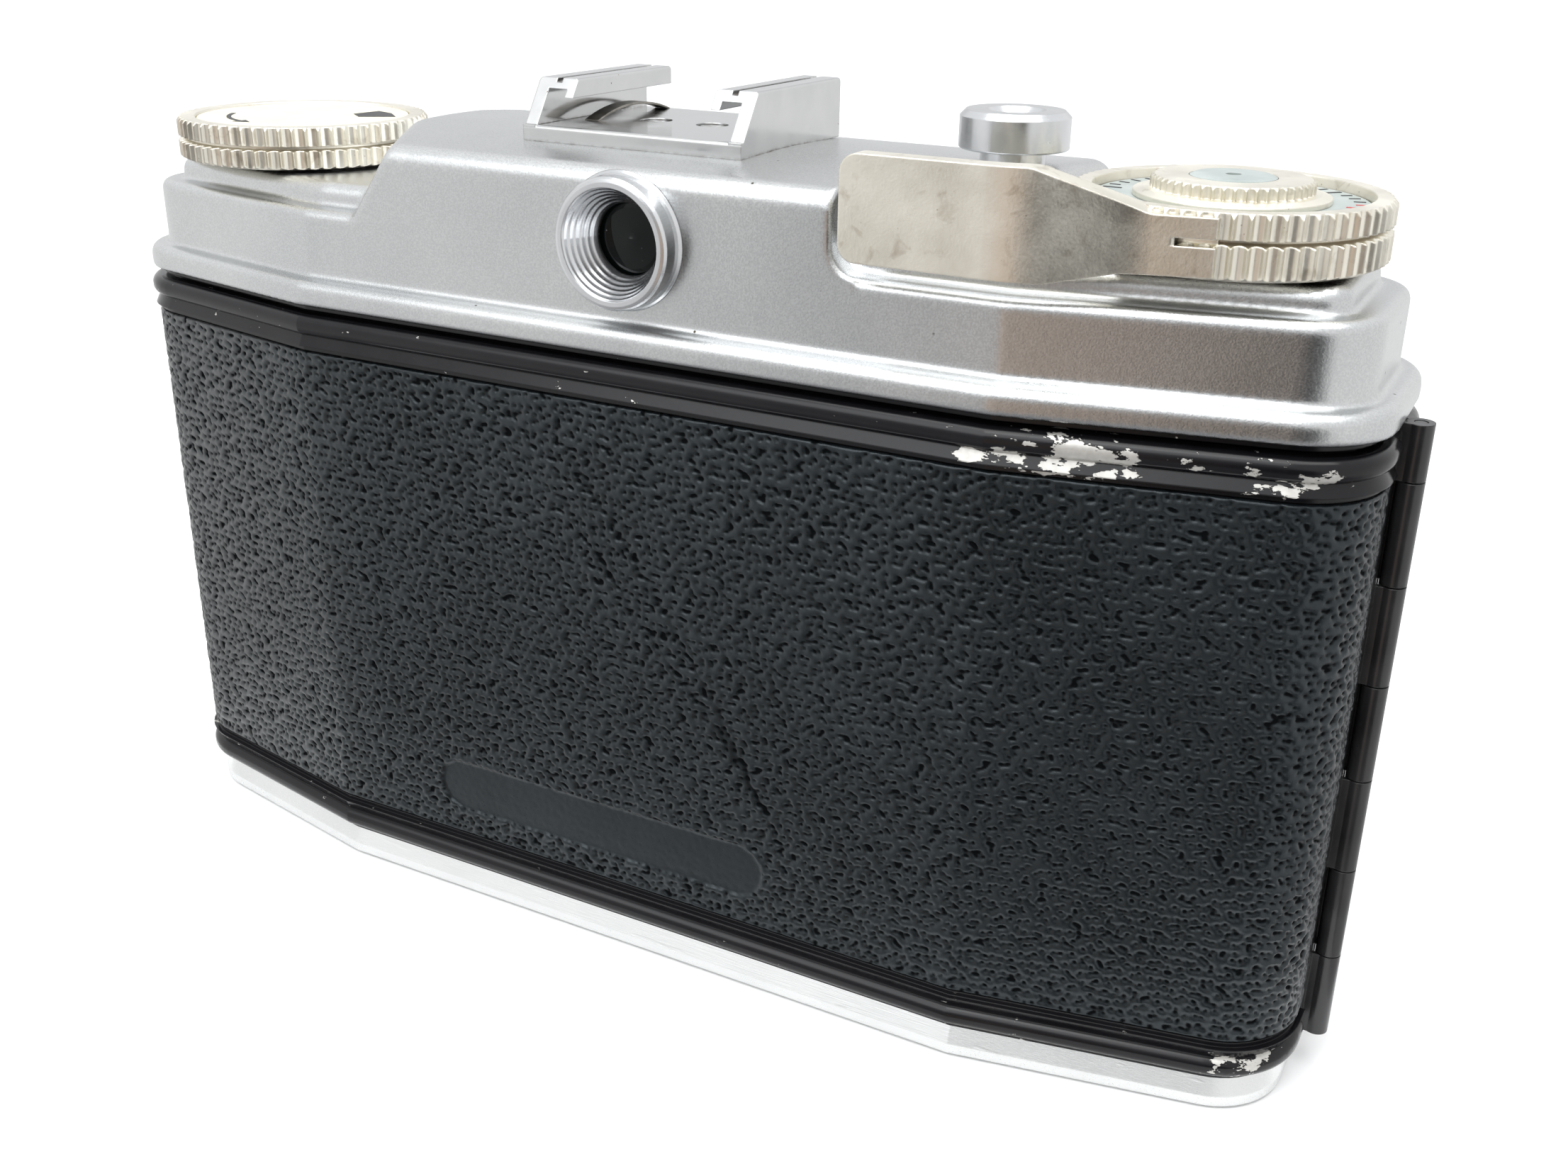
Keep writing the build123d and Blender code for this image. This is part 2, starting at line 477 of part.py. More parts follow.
# ---- advance side ---------------------------------------------------------------------------------
def make_lever():
    r, low, high = 12.4, 72.3, 77.25
    form = turned((0, low), (r - 0.7, low), (r, low + 0.4), (r, 74.75), (r - 0.9, 75.1), (r - 0.9, 75.25),
                  (r, 75.35), (r, high - 0.4), (r - 0.35, high), (10.8, high), (10.65, 76.1), (0, 76.1))
    axis = Pos(-KNOB_X, KNOB_Y, 0)
    wheel = axis * (form & toothed(r, 0.5, TEETH, low - 1, high + 1))
    plan = make_face(Polyline((-22.1, 17.2), (-36.5, 17.2), (-44.0, 13.6), (-50.0, 12.5), (-50.0, 9.5),
                              (-43.5, 11.2), (-35.5, 15.4), (-22.1, 15.4), close=True))
    plan = fillet([v for v in plan.vertices() if -46 < v.X < -30], 11.0)
    side = make_face(Polyline((-22.1, 71.6), (-38.4, 71.5), (-43.4, 72.45), (-51.0, 72.6), (-51.0, 76.9),
                              (-45.2, 76.9), (-37.2, 79.9), (-22.1, 79.9), close=True))
    side = fillet([v for v in side.vertices() if v.X > -30], 1.5)
    side = fillet([v for v in side.vertices() if -46 < v.X < -36], 2.5)
    arm = (Pos(0, 0, 70) * extrude(plan, 12)) & (Pos(0, 25, 0) * extrude(Plane.XZ * side, 20))
    lever = wheel + (arm - upright(-KNOB_X, KNOB_Y, 70, 80, 11.6) - axis * ring(11.9, 12.85, 74.75, 75.33))
    lever -= upright(-KNOB_X, KNOB_Y, low - 1, 78, 1.6)
    keep("advance_lever", lever)
    keep("lever_shaft", Pos(-KNOB_X, KNOB_Y, 0) * ring(1.6, 3.0, 58.2, low))


def make_counter():
    place = Pos(-KNOB_X, KNOB_Y, 0)
    dial = turned((1.6, 76.2), (10.55, 76.2), (10.55, 76.5), (1.6, 76.5))
    knob = turned((0, 76.52), (7.6, 76.52), (7.6, 76.9), (6.8, 77.15), (0, 77.15))
    grip = turned((0, 77.0), (6.3, 77.0), (6.3, 77.9), (6.0, 78.15), (0, 78.15))
    knob += grip & toothed(6.3, 0.35, 48, 76, 79)
    knob -= upright(0, 0, 77.8, 79, 3.4)
    knob += upright(0, 0, 70.0, 77.0, 1.52)
    keep("counter_knob", place * knob)
    cap = turned((0.6, 77.8), (3.35, 77.8), (3.35, 78.15), (3.0, 78.3), (0.6, 78.3))
    keep("counter_dial", place * dial, place * cap)


def make_release():
    place = Pos(RELEASE_X, RELEASE_Y, 0)
    button = turned((0, 64.0), (2.75, 64.0), (2.75, 66.0), (3.8, 66.0), (3.8, 66.6), (2.75, 66.6),
                    (2.75, 78.7), (4.5, 78.7), (4.6, 78.8), (4.6, 81.3), (4.1, 81.8), (2.5, 81.8),
                    (1.9, 81.3), (1.5, 77.8), (0, 77.4))
    keep("release_button", place * button)
    keep("release_collar", place * (ring(2.83, 3.55, 73.0, 77.1)))
    keep("release_spring", place * ring(3.0, 3.7, Z_COVER + 0.05, 65.95))


# ---- film transport -------------------------------------------------------------------------------
def make_transport():
    spool = turned((0, 4.8), (2.0, 4.8), (2.0, 6.8), (10.4, 6.8), (10.4, 8.0), (6.0, 8.4), (6.0, 54.6),
                   (10.4, 55.0), (10.4, 56.2), (3.0, 56.2), (3.0, 58.0), (0, 58.0))
    spool -= block(-1.0, 1.0, -7, 7, 16, 47)
    keep("take_up_spool", Pos(-KNOB_X, KNOB_Y, 0) * spool)
    shaft = upright(0, 0, 4.8, 58.2, 1.2) + upright(0, 0, 6.9, 56.1, 2.4)
    for z in (15.6, 45.8):
        shaft += toothed(3.2, 0.75, 8, z, z + 1.6)
    keep("film_sprocket", Pos(SPROCKET_X, SPROCKET_Y, 0) * shaft)


# ---- struts, lens board and bellows ----------------------------------------------------------------
def arm(side, x, foot, head, holes):
    """Flat strut arm between two pivots given as (y, z), with holes of pin size."""
    x0, x1 = sorted((side * x, side * (x + ARM_T)))
    dy, dz = head[0] - foot[0], head[1] - foot[1]
    lean = degrees(asin(-dy / STRUT))
    bar = block(x0, x1, -ARM_W / 2, ARM_W / 2, 0, STRUT)
    bar += crosswise(0, 0, x0, x1, ARM_W / 2) + crosswise(0, STRUT, x0, x1, ARM_W / 2)
    for along in holes:
        bar -= crosswise(0, along, x0 - 1, x1 + 1, PIN_BORE)
    return Pos(0, foot[0], foot[1]) * Rot(lean, 0, 0) * bar


def make_struts():
    low_rear, low_front = (PIVOT_Y, PIVOT_Z), (BOARD_PIVOT_Y, PIVOT_Z)
    top_rear, top_front = (PIVOT_Y, PIVOT_Z + RISE), (BOARD_PIVOT_Y, PIVOT_Z + RISE)
    middle = ((PIVOT_Y + BOARD_PIVOT_Y) / 2, PIVOT_Z + RISE / 2)
    body_pins, board_pins = [], []
    for side, name in ((1, "left"), (-1, "right")):
        rising = arm(side, ARM_A_X, low_rear, top_front, (0,))
        rising += crosswise(*top_front, *sorted((side * (ARM_A_X + 0.5), side * (EAR_X + 0.9))), PIN_R)
        rising += crosswise(*middle, *sorted((side * (ARM_B_X - 0.05), side * (ARM_A_X + ARM_T))), PIN_R)
        rising += crosswise(*middle, *sorted((side * (ARM_B_X - 0.5), side * (ARM_B_X - 0.05))), 1.7)
        keep(f"strut_front_{name}", rising)
        falling = arm(side, ARM_B_X, low_front, top_rear, (0, STRUT / 2))
        falling += crosswise(*top_rear, *sorted((side * (ARM_B_X + 0.5), side * (CAVITY_X + 1.0))), PIN_R)
        keep(f"strut_rear_{name}", falling)
        body_span = sorted((side * (ARM_A_X - 0.2), side * CAVITY_X))
        board_span = sorted((side * (ARM_B_X - 0.1), side * (EAR_X + 1.0)))
        body_pins.append(crosswise(*low_rear, *body_span, PIN_R))
        board_pins.append(crosswise(*low_front, *board_span, PIN_R))
    keep("body_strut_pins", *body_pins)
    keep("board_strut_pins", *board_pins)


def make_lens_board():
    board = block(-EAR_X - 1, EAR_X + 1, BOARD_FRONT, BOARD_BACK, 9.6, 53.2)
    board = fillet(board.edges().filter_by(Axis.Y), 2.5)
    for side in (-1, 1):
        x0, x1 = sorted((side * EAR_X, side * (EAR_X + 1.0)))
        ear = block(x0, x1, BOARD_BACK, BOARD_PIVOT_Y + 2.6, PIVOT_Z - 2.4, PIVOT_Z + RISE_SHUT + 2.6)
        slot_low, slot_high = PIVOT_Z + RISE - 1.4, PIVOT_Z + RISE_SHUT + 1.4
        ear -= block(x0 - 1, x1 + 1, BOARD_PIVOT_Y - 1.3, BOARD_PIVOT_Y + 1.3, slot_low, slot_high)
        ear -= crosswise(BOARD_PIVOT_Y, PIVOT_Z, x0 - 1, x1 + 1, PIN_R)
        board += ear
    board -= fore_aft(0, AXIS_Z, BOARD_FRONT - 1, BOARD_BACK + 1, 8.5)
    keep("lens_board", board)
    folds = []
    rear, front = GATE_FRONT, BOARD_BACK + 0.2
    for outer, inner in (((23.2, 17.0), (20.0, 17.0)), ((19.8, 14.0), (16.6, 14.0))):
        ends = [Plane(origin=(0, y, AXIS_Z), x_dir=(1, 0, 0), z_dir=(0, -1, 0)) * Rectangle(2 * w, 2 * h)
                for y, (w, h) in ((rear, outer), (front, inner))]
        folds.append(loft(ends, ruled=True))
    keep("bellows", folds[0] - folds[1])


def make_shutter():
    housing = turned((8.5, 0), (19.9, 0), (19.9, 3.2), (SHUTTER_R, 3.2), (SHUTTER_R, SHUTTER_DEEP),
                     (20.0, SHUTTER_DEEP), (20.0, 10.5), (19.4, 10.5), (19.4, 2), (8.5, 2))
    slot = ring(18, 25, 8.2, 9.9) & (Rot(0, 0, 90) * block(0, 30, -7, 15, 0, 20))
    housing -= slot
    socket_place = Rot(0, 0, -150) * Pos(SHUTTER_R - 0.4, 0, 6.0) * Rot(0, 90, 0)
    housing -= socket_place * ring(0, 1.75, -4, 4)
    keep("shutter_housing", on_lens_axis(housing))
    socket = ring(1.2, 1.72, -1.2, 3.4) + ring(0, 1.72, -1.2, -0.6) + upright(0, 0, -1, 2.6, 0.45)
    keep("sync_socket", on_lens_axis(socket_place * socket))
    leaves = sectors(5, 0.25, 16.5, 2.5, 2.8, 35) + sectors(10, 4.2, 16.5, 3.6, 3.9, 50)
    keep("lens_blades", *[on_lens_axis(leaf) for leaf in leaves])
    grip = ring(20.2, 22.3, 0.3, 2.9) & toothed(22.3, 0.4, 90, 0, 4)
    tab = Rot(0, 0, -60) * block(21.6, 25.6, -1.2, 1.2, 0.7, 2.4)
    keep("aperture_ring", on_lens_axis(grip + tab))
    speed = ring(14.6, 21.8, 11.8, 13.4) & toothed(21.8, 0.4, 110, 11, 14)
    keep("speed_ring", on_lens_axis(speed))
    face = ring(8.0, 19.9, 10.5, 11.5) + ring(8.0, 14.3, 11.5, 13.0) + ring(7.0, 8.3, 4.2, 13.6)
    keep("shutter_face", on_lens_axis(face))
    lever = ring(17.2, 19.1, 8.5, 9.6) & (Rot(0, 0, 90) * block(0, 30, -6, 6, 0, 20))
    lever += Rot(0, 0, 90) * block(18.5, 26.0, -1.1, 1.1, 8.5, 9.6)
    lever += Rot(0, 0, 90) * Pos(26.0, 0, 9.05) * Cylinder(1.7, 1.1)
    keep("cocking_lever", on_lens_axis(lever))
    keep("rear_cell", on_lens_axis(ring(7.0, 8.3, -5.0, 2.2)))
    lens = turned((0, -4.6), (4.0, -4.3), (6.95, -3.4), (6.95, -2.2), (0, -2.2))
    keep("rear_element", on_lens_axis(lens))
    knob = ring(10.6, 17.4, 13.8, 19.2) & toothed(17.4, 0.6, 56, 13, 20)
    rim = [e for e in knob.edges().filter_by(GeomType.CIRCLE) if abs(e.center().Z - 19.2) < 0.01]
    keep("focus_ring", on_lens_axis(chamfer(rim, 0.4)))
    cell = turned((8.6, 14.0), (10.3, 14.0), (10.3, 20.0), (9.9, 20.4), (9.2, 20.4), (8.6, 18.6))
    keep("front_cell", on_lens_axis(cell))
    lens = turned((0, 16.4), (8.55, 16.4), (8.55, 17.8), (6.0, 18.7), (3.0, 19.15), (0, 19.3))
    keep("front_element", on_lens_axis(lens))


def sectors(count, r_in, r_out, h0, h1, twist):
    """Thin blades side by side round the bore, each with straight edges turned off the radius."""
    blades = []
    for i in range(count):
        corners = []
        for step, radius, lag in ((0, r_in, 0), (0, r_out, twist), (1, r_out, twist), (1, r_in, 0)):
            a = radians(360 / count * (i + step * 0.985) - lag * (radius / r_out))
            corners.append((radius * cos(a), radius * sin(a)))
        blades.append(Pos(0, 0, h0) * extrude(make_face(Polyline(*corners, close=True)), h1 - h0))
    return blades


def make_fold_release():
    place = Pos(FOLD_BUTTON_X, 0, FOLD_BUTTON_Z) * Rot(90, 0, 0)
    button = turned((0, 12.2), (2.2, 12.2), (2.2, 17.9), (1.8, 18.3), (0, 18.3))
    keep("fold_release_button", place * button)


make_top_cover()
make_finder()
make_shoe()
make_body_casting()
make_strut_box()
make_leather()
make_base()
make_back_door()
make_latch()
make_hinge()
make_rewind()
make_lever()
make_counter()
make_release()
make_transport()
make_struts()
make_lens_board()
make_shutter()
make_fold_release()

os.makedirs("parts", exist_ok=True)
for name, shape in NODES.items():
    export_step(shape, f"parts/{name}.step")
print(len(NODES), "nodes")
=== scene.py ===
import math

import bmesh
import bpy
import numpy as np
from mathutils import Matrix, Vector


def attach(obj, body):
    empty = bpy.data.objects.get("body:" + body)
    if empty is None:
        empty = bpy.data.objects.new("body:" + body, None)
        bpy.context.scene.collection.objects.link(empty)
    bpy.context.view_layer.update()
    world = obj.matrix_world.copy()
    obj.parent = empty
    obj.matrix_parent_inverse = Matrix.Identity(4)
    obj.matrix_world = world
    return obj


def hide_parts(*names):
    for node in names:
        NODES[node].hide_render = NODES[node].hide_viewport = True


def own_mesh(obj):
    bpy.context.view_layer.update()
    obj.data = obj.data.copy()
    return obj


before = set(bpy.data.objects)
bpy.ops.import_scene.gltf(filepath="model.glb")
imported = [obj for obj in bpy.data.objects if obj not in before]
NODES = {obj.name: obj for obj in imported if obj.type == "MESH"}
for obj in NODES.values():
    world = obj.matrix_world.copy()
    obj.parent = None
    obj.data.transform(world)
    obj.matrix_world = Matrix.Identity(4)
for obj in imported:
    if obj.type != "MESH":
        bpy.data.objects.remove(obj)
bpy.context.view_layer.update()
MM = 0.001

# ---- camera, at the photograph's viewing angle ----------------------------------------------------
CAMERA_AT = (-0.077001, 0.129809, 0.097053)
TURN, DROP, TILT = (math.radians(a) for a in (27.648, 22.942, 0.978))
SENSOR, FOCAL = 36.0, 37.104


def make_camera():
    ahead = Vector((math.sin(TURN) * math.cos(DROP), -math.cos(TURN) * math.cos(DROP), -math.sin(DROP)))
    across = ahead.cross(Vector((0, 0, 1))).normalized()
    over = across.cross(ahead)
    right = across * math.cos(TILT) + over * math.sin(TILT)
    up = over * math.cos(TILT) - across * math.sin(TILT)
    data = bpy.data.cameras.new("camera")
    data.sensor_width, data.lens = SENSOR, FOCAL
    data.clip_start, data.clip_end = 0.005, 10.0
    cam = bpy.data.objects.new("camera", data)
    turn = Matrix((right, up, -ahead)).transposed()
    cam.matrix_world = Matrix.Translation(CAMERA_AT) @ turn.to_4x4()
    bpy.context.scene.collection.objects.link(cam)
    bpy.context.scene.camera = cam


# ---- procedural materials -------------------------------------------------------------------------
class Paint:
    """One node-based material. Coordinates are the row frame at rest, in millimetres."""

    def __init__(self, name, **fixed):
        self.material = bpy.data.materials.new(name)
        self.material.use_nodes = True
        self.tree = self.material.node_tree
        self.shader = self.tree.nodes["Principled BSDF"]
        for socket, value in fixed.items():
            self.shader.inputs[socket.replace("_", " ")].default_value = value
        place = self.tree.nodes.new("ShaderNodeTexCoord").outputs["Object"]
        self.place = self.vector("SCALE", place, scale=1000.0)

    def node(self, kind, inputs=(), out=0, **settings):
        made = self.tree.nodes.new("ShaderNode" + kind)
        for key, value in settings.items():
            setattr(made, key, value)
        for key, value in dict(inputs).items():
            if isinstance(value, bpy.types.NodeSocket):
                self.tree.links.new(value, made.inputs[key])
            else:
                made.inputs[key].default_value = value
        return made.outputs[out]

    def vector(self, operation, a, b=None, scale=None):
        inputs = {0: a}
        if b is not None:
            inputs[1] = b
        if scale is not None:
            inputs["Scale"] = scale
        return self.node("VectorMath", inputs, operation=operation)

    def math(self, operation, a, b=None, c=None):
        given = {i: v for i, v in enumerate((a, b, c)) if v is not None}
        return self.node("Math", given, operation=operation)

    def xyz(self):
        made = self.tree.nodes.new("ShaderNodeSeparateXYZ")
        self.tree.links.new(self.place, made.inputs[0])
        return made.outputs[0], made.outputs[1], made.outputs[2]

    def stretched(self, stretch):
        return self.place if stretch is None else self.vector("MULTIPLY", self.place, stretch)

    def noise(self, size, detail=2.0, stretch=None, rough=0.5, warp=0.0):
        """Cloudy noise from 0 to 1 whose features are about size millimetres across."""
        inputs = {"Vector": self.stretched(stretch), "Scale": 1.0 / size, "Detail": detail,
                  "Roughness": rough, "Distortion": warp}
        return self.node("TexNoise", inputs)

    def cells(self, size, feature="F1", stretch=None):
        inputs = {"Vector": self.stretched(stretch), "Scale": 1.0 / size}
        return self.node("TexVoronoi", inputs, feature=feature)

    def remap(self, value, low, high, to_low=0.0, to_high=1.0):
        inputs = {"Value": value, "From Min": low, "From Max": high, "To Min": to_low, "To Max": to_high}
        return self.node("MapRange", inputs)

    def window(self, value, low, high, soft):
        """1 between low and high, fading to 0 over soft on both sides."""
        rise = self.remap(value, low - soft, low + soft)
        fall = self.remap(value, high - soft, high + soft, 1.0, 0.0)
        return self.math("MULTIPLY", rise, fall)

    def mix(self, share, a, b):
        made = self.tree.nodes.new("ShaderNodeMix")
        made.data_type = "RGBA"
        for key, value in ((0, share), (6, a), (7, b)):
            if isinstance(value, bpy.types.NodeSocket):
                self.tree.links.new(value, made.inputs[key])
            else:
                made.inputs[key].default_value = value if key == 0 else (*value[:3], 1.0)
        return made.outputs[2]

    def set(self, socket, value):
        self.tree.links.new(value, self.shader.inputs[socket])

    def corner_shade(self, reach, low=0.25, high=0.6):
        """Ambient occlusion: 1 deep in corners and joints, where shade falls, 0 in the open; colour mixed in
        by it is painted shade.
        """
        open_share = self.node("AmbientOcclusion", {"Distance": reach * MM}, out=1, samples=6)
        return self.remap(open_share, low, high, 1.0, 0.0)

    def bump(self, *layers, edge=0.0):
        """Stack bump layers of (height, millimetres). edge rounds sharp corners by that many millimetres."""
        normal = None
        if edge:
            normal = self.node("Bevel", {"Radius": edge * MM}, samples=4)
        for height, distance in layers:
            inputs = {"Height": height, "Distance": distance * MM, "Strength": 1.0}
            if normal is not None:
                inputs["Normal"] = normal
            normal = self.node("Bump", inputs)
        self.set("Normal", normal)


def metal(name, low, high, roughness, edge=0.15, patch=9.0):
    """Plain metal: cloudy tone, fine grain and uneven gloss."""
    p = Paint(name, Metallic=1.0)
    cloud, fine = p.noise(patch, 4.0), p.noise(0.22, 3.0)
    p.set("Base Color", p.mix(p.remap(cloud, 0.3, 0.7), low, high))
    spread = 0.07
    uneven = p.math("ADD", p.math("MULTIPLY", cloud, spread), p.math("MULTIPLY", fine, spread))
    p.set("Roughness", p.math("ADD", uneven, roughness - spread))
    p.bump((fine, 0.004), edge=edge)
    return p.material


def satin_cover():
    """Matt chromed cover: a fine sandy grain, cloudy tone and tiny dark specks."""
    p = Paint("satin_aluminium", Metallic=1.0)
    cloud, fine = p.noise(14.0, 4.0), p.noise(0.16, 2.0)
    coarse = p.noise(0.6, 2.0)
    tone = p.mix(p.remap(cloud, 0.3, 0.7), (0.565, 0.575, 0.58), (0.635, 0.645, 0.645))
    tone = p.mix(p.remap(fine, 0.62, 0.42, 0.0, 0.22), tone, (0.25, 0.26, 0.27))
    specks = p.remap(p.cells(2.6), 0.035, 0.06, 1.0, 0.0)
    rare = p.math("MULTIPLY", specks, p.remap(p.noise(5.0, 1.0), 0.56, 0.6))
    # Dirt and painted shade: dark brown mixed in where ambient occlusion finds corners and joints, in noisy
    # patches.
    dirt_and_shade = p.math("MULTIPLY", p.corner_shade(0.8), p.remap(p.noise(0.7, 3.0), 0.35, 0.6))
    p.set("Base Color", p.mix(p.math("MAXIMUM", rare, dirt_and_shade), tone, (0.07, 0.06, 0.045)))
    uneven = p.math("MULTIPLY_ADD", fine, 0.1, p.math("MULTIPLY", cloud, 0.08))
    p.set("Roughness", p.math("ADD", uneven, 0.20))
    p.bump((coarse, 0.006), (fine, 0.010), edge=0.25)
    return p.material


def bright_base():
    p = Paint("bright_aluminium", Metallic=1.0)
    brushed = p.noise(0.1, 3.0, (0.03, 1.0, 1.0))
    cloud = p.noise(8.0, 4.0)
    p.set("Base Color", p.mix(cloud, (0.70, 0.71, 0.71), (0.80, 0.805, 0.80)))
    p.set("Roughness", p.math("MULTIPLY_ADD", brushed, 0.12, 0.2))
    scratch = p.remap(p.noise(0.8, 2.0, (0.12, 1.0, 1.0)), 0.66, 0.72)
    p.bump((brushed, 0.004), (scratch, -0.004), edge=0.2)
    return p.material


def chrome():
    """Polished chrome with small rust pits, and brown dirt and painted shade in its corners and joints."""
    p = Paint("chrome", Metallic=1.0)
    pits = p.remap(p.cells(0.9), 0.06, 0.11, 1.0, 0.0)
    where = p.remap(p.noise(2.2, 3.0), 0.55, 0.66)
    pits = p.math("MULTIPLY", pits, where)
    haze = p.noise(3.0, 5.0)
    tone = p.mix(haze, (0.52, 0.525, 0.53), (0.63, 0.635, 0.63))
    # Dirt and painted shade: brown mixed in where ambient occlusion finds corners and joints, in noisy
    # patches.
    dirt_and_shade = p.math("MULTIPLY", p.corner_shade(0.7), p.remap(p.noise(0.5, 4.0), 0.4, 0.58))
    p.set("Base Color", p.mix(p.math("MAXIMUM", pits, dirt_and_shade), tone, (0.13, 0.085, 0.05)))
    p.set("Roughness", p.math("MULTIPLY_ADD", pits, 0.5, p.remap(haze, 0.3, 0.7, 0.1, 0.2)))
    p.bump((haze, 0.006), (pits, -0.01), edge=0.15)
    return p.material


def nickel():
    """Warm champagne nickel, satin, with brown blotches and specks, and brown painted shade in its corners
    and joints.
    """
    p = Paint("nickel", Metallic=1.0)
    cloud, fine = p.noise(5.0, 5.0), p.noise(0.2, 3.0)
    stains_and_shade = p.remap(p.noise(1.6, 4.0, warp=0.6), 0.60, 0.80)
    specks = p.math("MULTIPLY", p.remap(p.cells(0.7), 0.05, 0.12, 1.0, 0.0), p.remap(p.noise(1.5), 0.5, 0.62))
    # Painted shade: ambient occlusion in corners and joints is added to the brown blotches and specks.
    stains_and_shade = p.math("MAXIMUM", stains_and_shade, p.math("MAXIMUM", specks, p.corner_shade(0.45)))
    tone = p.mix(p.remap(cloud, 0.3, 0.7), (0.80, 0.765, 0.665), (0.91, 0.88, 0.79))
    p.set("Base Color", p.mix(p.math("MULTIPLY", stains_and_shade, 0.6), tone, (0.34, 0.27, 0.19)))
    p.set("Roughness", p.math("MULTIPLY_ADD", fine, 0.12, p.remap(cloud, 0.3, 0.7, 0.24, 0.34)))
    p.bump((p.noise(0.5, 3.0), 0.012), (fine, 0.008), edge=0.18)
    return p.material


def turned_steel():
    """Fine lathe rings that follow the axis of each turned part."""
    p = Paint("turned_steel", Metallic=1.0)
    rings = p.noise(0.10, 3.0, (0.02, 1.0, 0.02))
    upright = p.noise(0.10, 3.0, (0.02, 0.02, 1.0))
    cloud = p.noise(3.0, 3.0)
    tone = p.mix(cloud, (0.55, 0.56, 0.575), (0.68, 0.69, 0.70))
    # Dirt and painted shade: dark brown where ambient occlusion finds corners and joints, in noisy patches.
    dirt_and_shade = p.math("MULTIPLY", p.corner_shade(0.5), p.remap(p.noise(0.5, 3.0), 0.35, 0.6))
    p.set("Base Color", p.mix(p.math("MULTIPLY", dirt_and_shade, 0.8), tone, (0.09, 0.08, 0.065)))
    p.set("Roughness", p.math("MULTIPLY_ADD", p.math("MULTIPLY", rings, upright), 0.3, 0.15))
    p.bump((rings, 0.0018), (upright, 0.0018), edge=0.12)
    return p.material


def black_enamel():
    """Gloss black over bright metal, chipped along the top bead by the hinge and at the lower corner."""
    p = Paint("black_enamel", Specular_IOR_Level=0.3)
    x, _, z = p.xyz()
    ragged = p.noise(1.5, 6.0, (0.7, 1.0, 1.6), rough=0.62)
    upper = p.math("MULTIPLY", p.window(x, -60.5, -26.0, 2.5), p.window(z, 57.0, 59.9, 0.5))
    clusters = p.remap(p.noise(7.0, 2.0, (1.0, 1.0, 0.3)), 0.42, 0.62)
    upper = p.math("MULTIPLY", upper, clusters)
    lower = p.math("MULTIPLY", p.window(x, -63.0, -57.0, 1.0), p.window(z, 4.2, 6.4, 0.5))
    amount = p.math("MAXIMUM", upper, p.math("MULTIPLY", lower, 0.6))
    chips = p.remap(p.math("MULTIPLY_ADD", amount, 0.26, ragged), 0.685, 0.695)
    haze, dust = p.noise(4.0, 4.0), p.noise(0.3, 3.0)
    paint = p.mix(haze, (0.002, 0.002, 0.003), (0.007, 0.007, 0.008))
    bare = p.mix(p.noise(0.5, 3.0), (0.42, 0.41, 0.38), (0.66, 0.65, 0.62))
    p.set("Base Color", p.mix(chips, paint, bare))
    p.set("Metallic", p.math("MULTIPLY", chips, 0.75))
    glossy = p.remap(p.math("MULTIPLY", haze, dust), 0.1, 0.5, 0.10, 0.24)
    p.set("Roughness", p.math("MAXIMUM", glossy, p.math("MULTIPLY", chips, 0.5)))
    p.bump((haze, 0.01), (chips, -0.06), edge=0.15)
    return p.material


def leatherette(name="leatherette"):
    """Embossed leathercloth: painted shade darkens the pits, the ridges are smoother and glossier, and a
    painted sheen turns the ridges pale grey towards the +X end.
    """
    p = Paint(name, Specular_Tint=(0.84, 0.95, 1.0, 1.0))
    relief = p.node("Attribute", attribute_name="relief", out="Fac")
    cloud, fine = p.noise(12.0, 4.0), p.noise(0.12, 3.0)
    x, _, _ = p.xyz()
    ridge = p.mix(p.remap(cloud, 0.3, 0.7), (0.004, 0.0055, 0.0065), (0.009, 0.0115, 0.0135))
    # Painted sheen: towards the +X end the ridge colour turns pale grey, as grazing light falls on that end.
    ridge_with_painted_sheen = p.mix(p.remap(x, 28.0, 62.0), ridge, (0.060, 0.060, 0.060))
    high, lip = p.remap(relief, 0.25, 0.95), p.remap(relief, 0.22, 0.60)
    # Painted shade: the colour darkens into the pits as the relief falls; the ridges keep the lighter tone.
    p.set("Base Color", p.mix(high, (0.002, 0.0025, 0.003), ridge_with_painted_sheen))
    p.set("Roughness", p.math("MULTIPLY_ADD", fine, 0.16, p.remap(lip, 0.0, 1.0, 0.55, 0.22)))
    p.set("Specular IOR Level", p.remap(lip, 0.0, 1.0, 0.03, 0.44))
    p.bump((fine, 0.012))
    return p.material


def cloth():
    p = Paint("bellows_cloth", Specular_IOR_Level=0.3)
    weave = p.noise(0.25, 3.0)
    p.set("Base Color", p.mix(weave, (0.008, 0.008, 0.009), (0.022, 0.021, 0.020)))
    p.set("Roughness", p.remap(p.noise(4.0, 3.0), 0.3, 0.7, 0.55, 0.75))
    p.bump((weave, 0.03))
    return p.material


def painted(name, low, high, roughness, edge=0.1, **fixed):
    p = Paint(name, **fixed)
    cloud, fine = p.noise(3.5, 5.0), p.noise(0.15, 3.0)
    p.set("Base Color", p.mix(p.remap(cloud, 0.3, 0.7), low, high))
    p.set("Roughness", p.math("MULTIPLY_ADD", fine, 0.12, roughness))
    p.bump((fine, 0.006), edge=edge)
    return p.material


def glass(name, tint, weight, shine=0.5):
    p = Paint(name, Transmission_Weight=weight, IOR=1.52, Specular_IOR_Level=shine)
    smear = p.noise(2.5, 4.0)
    dust = p.math("MULTIPLY", p.remap(p.cells(0.9), 0.05, 0.08, 1.0, 0.0), p.remap(p.noise(2.0), 0.5, 0.6))
    clean = p.mix(smear, tint, tuple(0.92 * c for c in tint))
    p.set("Base Color", p.mix(p.math("MULTIPLY", dust, 0.35), clean, (0.6, 0.6, 0.6)))
    p.set("Roughness", p.remap(smear, 0.4, 0.8, 0.0, 0.05))
    return p.material


